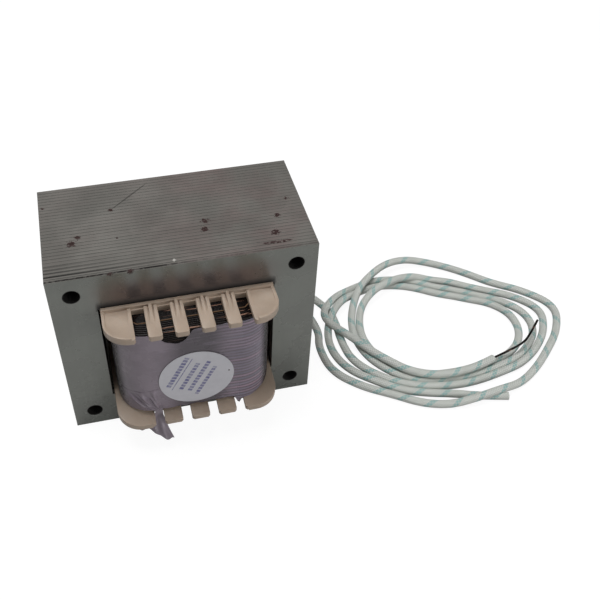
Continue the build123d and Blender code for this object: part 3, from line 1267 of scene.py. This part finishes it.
@dataclass
class Barrel:
    """The bobbin's barrel, which all windings run round: half its sizes and its corner."""

    half_x: float = 20.9
    half_y: float = 31.9
    corner: float = 1.2

    def ring(self, corner_steps: int, straight_steps: int) -> Ring:
        """Gives the barrel's outline as places and outward directions.

        Each corner is a quarter circle about its centre. A straight runs from one corner's last place
        to the next one's first, and both places and directions go evenly between them.

        Args:
            corner_steps: Places round each corner.
            straight_steps: Places between two corners.

        Returns:
            The places and directions.
        """
        quarter = np.linspace(0, np.pi / 2, corner_steps)
        angle = np.concatenate([quarter + index * np.pi / 2 for index in range(4)])
        outward = np.column_stack([np.cos(angle), np.sin(angle)])
        signs = np.array([(1, 1), (-1, 1), (-1, -1), (1, -1)])
        inset = np.array([self.half_x - self.corner, self.half_y - self.corner])
        outline = np.repeat(signs * inset, corner_steps, axis=0) + self.corner * outward
        gaps = np.arange(1, 5) * corner_steps - 1
        between = gaps[:, None] + np.linspace(0, 1, straight_steps + 2)[None, 1:-1]
        steps = np.sort(np.concatenate([np.arange(4 * corner_steps), between.ravel()]))
        known = np.arange(4 * corner_steps + 1)
        closed = np.vstack([np.column_stack([outline, outward]), np.hstack([outline[0], outward[0]])])
        spread = np.column_stack([np.interp(steps, known, column) for column in closed.T])
        return Ring(spread[:, :2], spread[:, 2:])


BARREL = Barrel()


@dataclass
class WireWinding:
    """A wound layer: rounds of wire that show as ridges on its outer face, its top and its bottom."""

    name: str
    node: str
    start: float
    build_up: float
    pitch: float
    bottom: float = 21.55
    top: float = 72.9
    samples: int = 6
    corner_steps: int = 10
    straight_steps: int = 8
    unevenness: float = 0.06
    wave_turns: int = 3
    wave_rise: float = 0.9

    def ridge(self, run: np.ndarray) -> np.ndarray:
        """Gives how far a round wire's face is below its crown: half the pitch less the circle's height."""
        part = np.mod(run, 1.0) * 2 - 1
        return 0.5 * self.pitch * (1 - np.sqrt(np.maximum(0.0, 1 - part**2)))

    def build(self) -> None:
        """Carries the ridged section round the barrel.

        The section goes up the outer face, in along the top, down the barrel and out along the bottom.
        A slow wave along the path moves the ridges, so that the turns aren't ruled lines.
        """
        turns = round((self.top - self.bottom) / self.pitch)
        layers = round(self.build_up / self.pitch)
        up = np.linspace(0, turns, turns * self.samples + 1)
        over = np.linspace(0, layers, layers * self.samples + 1)[1:]
        rise = self.bottom + up / turns * (self.top - self.bottom)
        crown = self.start + self.build_up
        into = crown - over / layers * self.build_up
        sunk = self.ridge(over)
        out = np.concatenate([crown - self.ridge(up), into, into[::-1][:-1]])
        height = np.concatenate([rise, self.top - sunk, self.bottom + sunk[::-1][:-1]])

        ring = BARREL.ring(self.corner_steps, self.straight_steps)
        path = np.arange(len(ring.outline)) / len(ring.outline) * 2 * np.pi
        wave = np.sin(self.wave_turns * path)[:, None] * np.sin(height * self.wave_rise)[None]
        points = ring.stand_off(out + self.unevenness * (wave - 1), height)
        piece = add_piece(self.name, surface_mesh(self.name, points, loop_rows=True), ENAMEL)
        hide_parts(self.node)


@dataclass
class FilmWrap:
    """The film round the winding: ridged by the turns under it, wavy at its rims, with a loose end."""

    start: float = 13.7
    thickness: float = 0.36
    clear: float = 0.02
    bottom: float = 21.8
    top: float = 72.6
    pitch: float = 1.12
    ridge: float = 0.07
    rows: int = 180
    corner_steps: int = 14
    straight_steps: int = 44
    front_turn: float = -0.5
    band: float = 0.25
    band_from: tuple[float, float] = (-4.0, 16.0)
    band_share: tuple[float, float] = (0.12, 1.0)
    slack: float = 0.06
    slack_wave: Ripple = Ripple(0.5, 0.21, 0.13)
    slack_beat: Ripple = Ripple(1.0, 0.21, 0.1, phase=math.pi / 2)
    top_inset: float = 0.6
    top_ripples: tuple[Ripple, ...] = (Ripple(0.35, 0.55, phase=1.0), Ripple(0.25, 1.27, 0.7))
    dip_x: float = -8.6
    dip_width: float = 6.2
    dip_depth: float = 7.0
    low_inset: float = 0.5
    low_ripple: Ripple = Ripple(0.3, 0.8, 0.5)
    flap_x: float = 18.6
    flap_width: float = 1.5
    flap_depth: float = 5.0
    loose_thickness: float = 0.16
    tail_x: float = -18.6
    tail_neck: float = 1.75
    tail_clear: float = 0.2
    tail_opens: float = 0.2
    tail_flare: float = 1.2
    tail_lean: float = 6.0
    tail_lean_left: float = 0.3
    tail_left: tuple[float, float] = (-29.0, 14.5)
    tail_right: tuple[float, float] = (-13.2, 4.6)
    tail_folds: tuple[Ripple, ...] = (Ripple(1.1, 4.6, 3.0), Ripple(0.6, 9.0, -7.0))
    tail_grid: tuple[int, int] = (44, 30)
    gather_top: float = 37.0
    gather_slant: float = 3.0
    gather_left: float = -33.5
    gather_right: float = -17.6
    gather_foot: float = 0.3
    gather_pull: float = 1.15
    gather_clear: float = 0.05
    gather_stand: float = 0.55
    gather_swell: float = 0.8
    gather_folds: tuple[Ripple, ...] = (Ripple(0.825, 17.0, 2.5), Ripple(0.385, 33.0, -4.0))
    gather_grid: tuple[int, int] = (40, 60)
    corner_left: float = 0.5

    def wrap(self) -> None:
        """Makes the wrap as a thin closed section carried round the barrel.

        The outer face stands at the film's reach less the valleys between its bands, which deepen towards
        the right, less a fine ridge that repeats with the turns and less a slow wave. The top rim dips at
        one place, and the bottom rim hangs at another, each as a bell curve of x, the upper a flat one.
        """
        ring = BARREL.ring(self.corner_steps, self.straight_steps)
        x, y = ring.outline.T
        front = ring.outward[:, 1] < self.front_turn
        dip = self.dip_depth * front * np.exp(-(np.abs((x - self.dip_x) / self.dip_width) ** 3))
        flap = self.flap_depth * front * np.exp(-(((x - self.flap_x) / self.flap_width) ** 2))
        rim_top = self.top - self.top_inset + sum(ripple.at(x, y) for ripple in self.top_ripples) - dip
        rim_low = self.bottom + self.low_inset + self.low_ripple.at(x, y) - flap
        height = rim_low[:, None] + (rim_top - rim_low)[:, None] * np.linspace(0, 1, self.rows)
        sag = height + FILM.band_slope * (x + ring.outward[:, 0] * self.start)[:, None]
        deep = self.band * np.interp(x, self.band_from, self.band_share)[:, None]
        valley = deep * (1 - np.abs(np.sin(np.pi * sag / FILM.band_pitch)))
        fine = self.ridge * (0.5 - 0.5 * np.cos(2 * np.pi * height / self.pitch))
        beat = self.slack_wave.at(x[:, None], height) * self.slack_beat.at(height, y[:, None])
        outer = self.start + self.thickness - valley - fine - self.slack * (0.5 + beat)
        inner = np.full((len(x), 2), self.start + self.clear)
        reach = np.concatenate([outer, inner], axis=1)
        level = np.concatenate([height, height[:, -1:], height[:, :1]], axis=1)
        mesh = surface_mesh("film_wrap", ring.stand_off(reach, level), loop_rows=True)
        piece = add_piece("film_wrap", mesh, FILM)
        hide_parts("outer_film_wrap")

    def loose_sheet(self, name: str, x: np.ndarray, y: np.ndarray, z: np.ndarray) -> None:
        """Makes a thin closed sheet from the places of its front, rows downwards and columns to the right.

        The back is the front pushed in by the sheet's thickness, and the first and last rows close to a
        line.

        Args:
            name: The piece's name.
            x: The front's places from left to right, in millimetres.
            y: Its depths.
            z: Its heights.
        """
        sheet = np.stack(np.broadcast_arrays(x, y, z), axis=-1)
        back = sheet[:, ::-1] + np.array([0.0, self.loose_thickness, 0.0])
        points = np.concatenate([sheet, back], axis=1)
        half = sheet.shape[1]
        seam = 0.5 * (points[:, :half] + points[:, : half - 1 : -1])
        rims = np.concatenate([seam, seam[:, ::-1]], axis=1)
        rings = np.concatenate([rims[:1], points, rims[-1:]])
        add_piece(name, surface_mesh(name, rings * MM), FILM)

    def tail(self) -> None:
        """Makes the loose end, which hangs through the comb and opens out below it.

        From the slot's width, each row goes over to the end's slanting edge. The tail leans forward with
        the square of the way down, and folds that grow towards the end push it in and out.
        """
        rows, columns = self.tail_grid
        down = np.linspace(0, 1, rows)[:, None]
        across = np.linspace(-1, 1, columns)[None]
        share = 0.5 + 0.5 * across
        opened = np.clip((down - self.tail_opens) / (1 - self.tail_opens), 0, 1) ** self.tail_flare
        ends = zip(self.tail_left, self.tail_right)
        end_x, end_z = (left + (right - left) * share for left, right in ends)
        neck_x = self.tail_x + self.tail_neck * across
        neck_z = self.bottom + self.tail_clear
        fold = opened * sum(ripple.at(across, down) for ripple in self.tail_folds)
        lean = self.tail_lean * (self.tail_lean_left + (1 - self.tail_lean_left) * share) * down**2
        x = neck_x + (end_x - neck_x) * opened
        y = -(BARREL.half_y + self.start + self.tail_clear) - lean + fold
        z = neck_z + (end_z - neck_z) * down
        self.loose_sheet("film_loose_end", x, y, z)

    def gather(self) -> None:
        """Makes the crumpled part of the film above the slot, whose folds run together into the slot.

        Across its top it follows the winding's front and its round corner; downwards all places draw in to
        the slot. Folds along the lines of pull stand out from the film, most in the middle of the way down.
        """
        rows, columns = self.gather_grid
        down = np.linspace(0, 1, rows)[:, None]
        across = np.linspace(0, 1, columns)[None]
        top_x = self.gather_left + (self.gather_right - self.gather_left) * across
        top_z = self.gather_top - self.gather_slant * (1 - across)
        neck_x = self.tail_x + self.tail_neck * (2 * across - 1)
        x = top_x + (neck_x - top_x) * down**self.gather_pull
        z = top_z + (self.bottom + self.gather_foot - top_z) * down
        reach = BARREL.corner + self.start + self.thickness
        past = np.clip(-x - (BARREL.half_x - BARREL.corner), 0, reach - self.corner_left)
        round_off = reach - np.sqrt(reach**2 - past**2)
        swell = np.sin(np.pi * down) ** self.gather_swell
        fold = swell * (self.gather_stand + sum(ripple.at(across, down) for ripple in self.gather_folds))
        front = BARREL.half_y + self.start + self.thickness + self.gather_clear
        self.loose_sheet("film_gather", x, -front + round_off - np.maximum(fold, 0.0), z)

    def build(self) -> None:
        """Makes the wrap, its crumpled corner and its loose end."""
        self.wrap()
        self.gather()
        self.tail()


@dataclass
class RoundLabel:
    """The paper sticker on the film, very slightly lifted at its rim."""

    centre_x: float = -0.5
    centre_z: float = 41.0
    front: float = 46.0
    radius: float = 16.75
    thickness: float = 0.15
    lift: float = 0.18
    lift_waves: int = 2
    lift_turn: float = 0.6
    rings: int = 24
    columns: int = 96

    def build(self) -> None:
        """Turns a thin section about the label's axis.

        The front goes from the middle to the rim and the back returns. Both lift by a wave round the
        rim that grows with the fourth power of the radius.
        """
        out = np.linspace(0, 1, self.rings)
        share = np.concatenate([out, out[::-1]])[:, None]
        proud = np.concatenate([np.full(self.rings, self.thickness), np.zeros(self.rings)])[:, None]
        angle = np.linspace(0, 2 * np.pi, self.columns, endpoint=False)[None]
        wave = self.lift * share**4 * (0.5 + 0.5 * np.sin(self.lift_waves * angle + self.lift_turn))
        x = self.centre_x + self.radius * share * np.cos(angle)
        z = self.centre_z + self.radius * share * np.sin(angle)
        y = -(self.front + proud + wave)
        points = np.stack([x, y, z], axis=-1)
        piece = add_piece("paper_label", surface_mesh("paper_label", points * MM), STICKER)
        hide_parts("round_label")


def smooth_line(points: np.ndarray) -> np.ndarray:
    """Reads the places along the smooth line that a route's points steer.

    Args:
        points: The route's points, in metres.

    Returns:
        Places along an open NURBS spline of order 3 that ends at the first and last point.
    """
    curve = bpy.data.curves.new("route", "CURVE")
    curve.dimensions = "3D"
    curve.resolution_u = LINE_STEPS
    spline = curve.splines.new("NURBS")
    spline.points.add(len(points) - 1)
    weighted = np.column_stack([points, np.ones(len(points))])
    spline.points.foreach_set("co", weighted.astype(np.float32).ravel())
    spline.order_u = 3
    spline.use_endpoint_u = True
    carrier = bpy.data.objects.new("route", curve)
    mesh = bpy.data.meshes.new_from_object(carrier)
    places = np.empty(3 * len(mesh.vertices), dtype=np.float32)
    mesh.vertices.foreach_get("co", places)
    bpy.data.objects.remove(carrier)
    bpy.data.curves.remove(curve)
    bpy.data.meshes.remove(mesh)
    return places.reshape(-1, 3).astype(float)


def line_length(line: np.ndarray) -> np.ndarray:
    """Gives the length along a line up to each of its places."""
    steps = np.linalg.norm(np.diff(line, axis=0), axis=1)
    return np.concatenate([[0.0], np.cumsum(steps)])


def round_tube(
    name: str, line: np.ndarray, radius: float, sides: int, bore: float, recess: float
) -> bpy.types.Mesh:
    """Carries a circle along a line, with a plain start and a cut end.

    Each place's circle lies across the line's direction, and its first axis is one fixed vector made
    square to that direction. The fixed vector is up plus the line's level heading once it has settled,
    a twelfth of the way along. The end turns in to a bore, which is recessed and closed.

    Args:
        name: The mesh's name.
        line: Places along the line, in metres.
        radius: The tube's radius, in metres.
        sides: Places round the tube.
        bore: The bore's radius at the cut end, in metres.
        recess: How deep the bore goes, in metres.

    Returns:
        The mesh, with turns by millimetres as its UV map.
    """
    ahead = np.gradient(line, axis=0)
    ahead /= np.linalg.norm(ahead, axis=1, keepdims=True)
    heading = np.array([*ahead[len(ahead) // SETTLED_PART][:2], 0.0])
    fixed = np.array([0.0, 0.0, 1.0]) + heading / np.linalg.norm(heading)
    first = fixed - (ahead @ fixed)[:, None] * ahead
    first /= np.linalg.norm(first, axis=1, keepdims=True)
    second = np.cross(ahead, first)
    last = len(line) - 1
    order = np.concatenate([[0], np.arange(len(line)), [last, last, last]])
    radii = np.concatenate([[0.0], np.full(len(line), radius), [bore, bore, 0.0]])[:, None, None]
    centre = line[order]
    centre[-2:] -= recess * ahead[last]
    angle = np.linspace(0, 2 * np.pi, sides, endpoint=False)[None, :, None]
    ring = np.cos(angle) * first[order][:, None] + np.sin(angle) * second[order][:, None]
    points = centre[:, None] + radii * ring
    turns = np.broadcast_to(np.linspace(0, 1, sides + 1)[None], (len(order), sides + 1))
    along = np.broadcast_to(line_length(line)[order][:, None] / MM, turns.shape)
    return surface_mesh(name, points, uv=np.stack([turns, along], axis=-1))


@dataclass
class Lead:
    """One sleeved lead: out of the winding, along the ground and round the loose coil.

    The route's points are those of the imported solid. The stations steer the turns after it: the angle
    about the coil's centre in degrees, the radius in millimetres, and the level, 0 on the ground and 1
    on top of another turn.
    """

    name: str
    nodes: tuple[str, ...]
    route: tuple[Point, ...]
    stations: tuple[Point, ...]
    centre: tuple[float, float] = (135.0, -9.0)
    ground: float = 2.1
    upper: float = 6.1
    step: float = 15.0
    diameter: float = 4.0
    sides: int = 20
    bore: float = 1.25
    recess: float = 1.5

    def steering(self) -> np.ndarray:
        """Gives all points that steer the lead: its route's, then the turns' at even angles.

        Between two stations the radius and the level go evenly. The radius is a little larger than
        the line's own, because the line cuts inside its points.

        Returns:
            Points by three, in metres.
        """
        angles, radii, levels = np.array(self.stations).T
        count = round((angles[-1] - angles[0]) / self.step) + 1
        turn = np.linspace(angles[0], angles[-1], count)
        wider = 1 / math.sqrt(math.cos(math.radians(self.step) / 2))
        radius = np.interp(turn, angles, radii) * wider
        height = self.ground + (self.upper - self.ground) * np.interp(turn, angles, levels)
        x = self.centre[0] + radius * np.cos(np.radians(turn))
        y = self.centre[1] + radius * np.sin(np.radians(turn))
        return np.vstack([self.route, np.column_stack([x, y, height])]) * MM

    def build(self, with_pieces: tuple[bpy.types.Object, ...] = ()) -> None:
        """Args:
            with_pieces: The separate pieces at its end. Not used.
        """
        line = smooth_line(self.steering())
        radius = self.diameter / 2 * MM
        mesh = round_tube(self.name, line, radius, self.sides, self.bore * MM, self.recess * MM)
        piece = add_piece(self.name, mesh, BRAID)
        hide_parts(*self.nodes)
        length = float(line_length(line)[-1])
        LOG.info("%s: %.3f m long", self.name, length)
        tuple(value * MM for value in self.route[0])


@dataclass
class WireEnd:
    """A stretch of bare wire out of a sleeve's cut end."""

    name: str
    node: str
    route: tuple[Point, ...]
    diameter: float = 1.2
    sides: int = 14
    flat_share: float = 0.7
    proud: float = 0.08

    def build(self) -> bpy.types.Object:
        """Makes the wire along its line, with a flat cut end.

        Returns:
            The wire's piece.
        """
        line = smooth_line(np.array(self.route) * MM)
        radius = self.diameter / 2 * MM
        mesh = round_tube(self.name, line, radius, self.sides, self.flat_share * radius, -self.proud * MM)
        piece = add_piece(self.name, mesh, ENAMEL)
        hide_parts(self.node)
        return piece


PRIMARY = WireWinding("primary_turns", "primary_winding", start=0.05, build_up=6.5, pitch=0.62)
SECONDARY = WireWinding("secondary_turns", "secondary_winding", start=7.05, build_up=6.6, pitch=1.12)
LEAD_A = Lead(
    "lead_a",
    ("lead_a_sleeve", "lead_coil"),
    (
        (18.6, 40.0, 21.5), (18.6, 40.0, 12.0), (20.6, 46.0, 4.6), (29.0, 49.5, 2.1), (42.0, 48.0, 2.1),
        (54.5, 41.5, 2.1), (63.5, 31.0, 2.1), (69.5, 15.5, 2.1), (72.0, 0.5, 2.1),
    ),
    (
        (180, 66, 0), (196, 66.5, 0), (212, 59, 0), (224, 54, 0), (250, 52.7, 0), (264, 51, 0.2),
        (278, 49.5, 1), (290, 51, 0.6), (300, 52.5, 0), (322, 54.8, 0), (338, 59.5, 0), (352, 68, 0),
        (360, 69.5, 0), (367, 66, 0), (385, 49, 0), (411, 46, 0), (433, 49, 0), (445, 50.5, 0.4),
        (457, 51, 1), (482, 47.5, 1), (500, 46.7, 1), (510, 46.2, 0.5), (520, 46, 0), (535, 46, 0),
        (560, 44.6, 0), (577, 41.7, 0), (590, 41, 0), (610, 36.8, 0), (625, 35.5, 0), (640, 35.3, 0),
        (657, 37, 0), (670, 41.5, 0), (687, 46.5, 0), (703, 51.5, 0), (713, 53, 0), (724, 48.5, 0),
        (732, 44, 0), (745, 35.2, 0), (763, 31, 0), (785, 29, 0), (800, 30.5, 0), (820, 38, 0),
        (840, 46.5, 0), (856, 52, 0), (866, 56, 0.8), (876, 60.5, 1), (884, 63.5, 1), (889, 60, 1.3),
        (894, 53.5, 1.2), (902, 47.7, 1), (914, 43.7, 1), (931, 40, 1), (946, 39.3, 1), (969, 36.6, 1),
        (995, 33.6, 1), (1020, 34.9, 1),
    ),
)
LEAD_B = Lead(
    "lead_b",
    ("lead_b_sleeve", "lead_coil"),
    (
        (6.2, 40.0, 21.5), (6.2, 40.0, 12.0), (8.2, 46.5, 4.6), (16.0, 55.0, 2.1), (31.0, 60.0, 2.1),
        (47.0, 57.0, 2.1), (60.0, 46.0, 2.1), (72.0, 31.5, 2.1), (81.0, 16.5, 2.1),
    ),
    (
        (163, 54.5, 0), (172, 53.3, 0), (193, 53.4, 0), (206, 50.5, 0), (214, 47, 0), (230, 45.2, 0),
        (245, 41, 0), (262, 39.5, 0), (280, 39.3, 0), (297, 41, 0), (310, 45.5, 0), (327, 50.7, 0),
        (338, 54.3, 0), (350, 59, 0), (357, 61.5, 0), (366, 57, 0), (372, 52.5, 0), (385, 42, 0),
        (400, 36.5, 0), (435, 35, 0), (444, 35.5, 0.4), (454, 36.2, 1), (463, 36.7, 1), (486, 38.5, 1),
        (500, 40.5, 1), (510, 41.8, 0.4), (520, 42, 0), (532, 41.5, 0), (543, 42, 0), (560, 40.3, 0),
        (577, 37.6, 0), (590, 36.8, 0), (610, 32.7, 0), (625, 31.4, 0), (640, 31.2, 0), (657, 32.8, 0),
        (670, 37.2, 0), (687, 41.8, 0), (703, 44, 0), (719, 42.5, 0), (732, 38.7, 0), (745, 30.2, 0),
        (763, 26.2, 0), (785, 24.3, 0), (800, 26, 0), (820, 32, 0), (840, 41.5, 0), (856, 47.5, 0),
        (866, 51.5, 0.8), (876, 55.8, 1), (884, 58.3, 0.4), (892, 59.8, 0), (905, 61, 0), (918, 58.5, 0),
        (932, 52.5, 0), (942, 49.8, 0), (950, 49.2, 0), (963, 46, 0), (970, 44.5, 0), (981, 45, 0),
        (990, 47, 0), (998, 50, 0), (1008, 54, 0),
    ),
)
WIRE_A = WireEnd(
    "bare_wire",
    "lead_a_bare_wire",
    (
        (152.5, -39.2, 6.2), (162.0, -36.6, 6.2), (170.6, -35.4, 9.2), (176.6, -30.7, 9.3),
        (184.8, -22.6, 9.4),
    ),
)


@dataclass(frozen=True)
class Lamp:
    """One square soft lamp: where it hangs and what it points at, its side in metres and its watts."""

    name: str
    place: Point
    aim: Point
    size: float
    power: float

    def hang(self) -> None:
        """Hangs the lamp at its place and turns it to what it points at."""
        light = bpy.data.lights.new(self.name, "AREA")
        light.size = self.size
        light.energy = self.power
        turn = (Vector(self.aim) - Vector(self.place)).to_track_quat("-Z", "Y")
        new_object(self.name, light).matrix_world = Matrix.LocRotScale(Vector(self.place), turn, None)


@dataclass
class Studio:
    """The pale floor, the soft light and the camera at the photograph's angle."""

    eye: Point = (-29.3957, -273.3986, 324.8955)
    azimuth: float = math.radians(-14.3807)
    elevation: float = math.radians(44.8134)
    roll: float = math.radians(1.3265)
    focal_pixels: float = 818.727
    frame_pixels: float = 600.0
    axis_pixel: tuple[float, float] = (263.295, 285.284)
    sensor: float = 36.0
    nearest: float = 0.01
    floor_half: float = 4.0
    floor_level: float = -1e-4
    floor_tone: Colour = tone(246, 246, 246)
    bounce_tone: Colour = tone(150, 150, 150)
    shown_white: float = 0.84
    white_level: float = 1.1
    ambient: float = 0.23
    lamps: tuple[Lamp, ...] = (
        Lamp("overhead_lamp", (-0.16, 0.12, 1.25), (0.05, 0.0, 0.0), 0.6, 9.6),
        Lamp("front_lamp", (0.62, -0.8, 0.22), (0.03, 0.0, 0.05), 0.6, 3.5),
    )

    def camera(self) -> None:
        """Sets the camera: right, up and back axes from the azimuth and elevation, turned by the roll."""
        flat, lift = math.cos(self.elevation), math.sin(self.elevation)
        back = Vector((math.sin(self.azimuth) * flat, -math.cos(self.azimuth) * flat, lift))
        right = Vector((math.cos(self.azimuth), math.sin(self.azimuth), 0.0))
        up = back.cross(right)
        turned = math.cos(self.roll) * right + math.sin(self.roll) * up
        upright = math.cos(self.roll) * up - math.sin(self.roll) * right
        aim = Matrix((turned, upright, back)).transposed().to_quaternion()
        lens = bpy.data.cameras.new("photo_camera")
        lens.sensor_width = self.sensor
        lens.lens = self.focal_pixels / self.frame_pixels * self.sensor
        lens.shift_x = (self.frame_pixels / 2 - self.axis_pixel[0]) / self.frame_pixels
        lens.shift_y = -(self.frame_pixels / 2 - self.axis_pixel[1]) / self.frame_pixels
        lens.clip_start = self.nearest
        camera = new_object("photo_camera", lens)
        camera.matrix_world = Matrix.LocRotScale(Vector(self.eye) * MM, aim, None)
        bpy.context.scene.camera = camera

    def floor(self) -> None:
        """Lays the floor: pale in reflections, darker to bounced light, mostly white to the camera."""
        side, level = self.floor_half, self.floor_level
        places = [(-side, -side, level), (side, -side, level), (side, side, level), (-side, side, level)]
        mesh = bpy.data.meshes.new("floor")
        mesh.from_pydata(places, [], [(0, 1, 2, 3)])
        floor = new_object("floor", mesh)
        material = bpy.data.materials.new("pale_floor")
        graph = Graph.empty(material)
        rays = graph.add("ShaderNodeLightPath")
        seen = graph.read(rays, "Is Camera Ray") | graph.read(rays, "Is Transmission Ray")
        pale = graph.read(rays, "Is Diffuse Ray").mix(self.floor_tone, self.bounce_tone)
        matt = graph.out("ShaderNodeBsdfDiffuse", {"Color": pale})
        white = graph.out("ShaderNodeEmission", {"Color": WHITE, "Strength": self.white_level})
        shown = graph.out("ShaderNodeMixShader", {0: seen * self.shown_white, 1: matt, 2: white})
        graph.add("ShaderNodeOutputMaterial", {"Surface": shown})
        mesh.materials.append(material)

    def world(self) -> None:
        """Sets the world: white to the camera, and a plain even light to all else."""
        world = bpy.data.worlds.new("studio")
        bpy.context.scene.world = world
        graph = Graph.empty(world)
        shown = graph.out("ShaderNodeLightPath", output="Is Camera Ray")
        strength = shown * (1.0 - self.ambient) + self.ambient
        backdrop = graph.out("ShaderNodeBackground", {"Color": WHITE, "Strength": strength})
        graph.add("ShaderNodeOutputWorld", {"Surface": backdrop})
        bpy.context.scene.view_settings.view_transform = "Standard"

    def build(self) -> None:
        """Sets the floor, the lamps, the world and the camera."""
        self.floor()
        for lamp in self.lamps:
            lamp.hang()
        self.world()
        self.camera()


def main() -> None:
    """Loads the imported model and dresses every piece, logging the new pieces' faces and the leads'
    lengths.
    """
    logging.basicConfig(level=logging.INFO, format="%(name)s: %(message)s")
    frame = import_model()
    Studio().build()
    LEAD_A.build((WIRE_A.build(),))
    LEAD_B.build()
    Core().build(frame["nodes"])
    Bobbin().build(frame["nodes"])
    PRIMARY.build()
    dress_node(frame["nodes"], "winding_insulation", PAPER)
    SECONDARY.build()
    FilmWrap().build()
    RoundLabel().build()


if __name__ == "__main__":
    main()
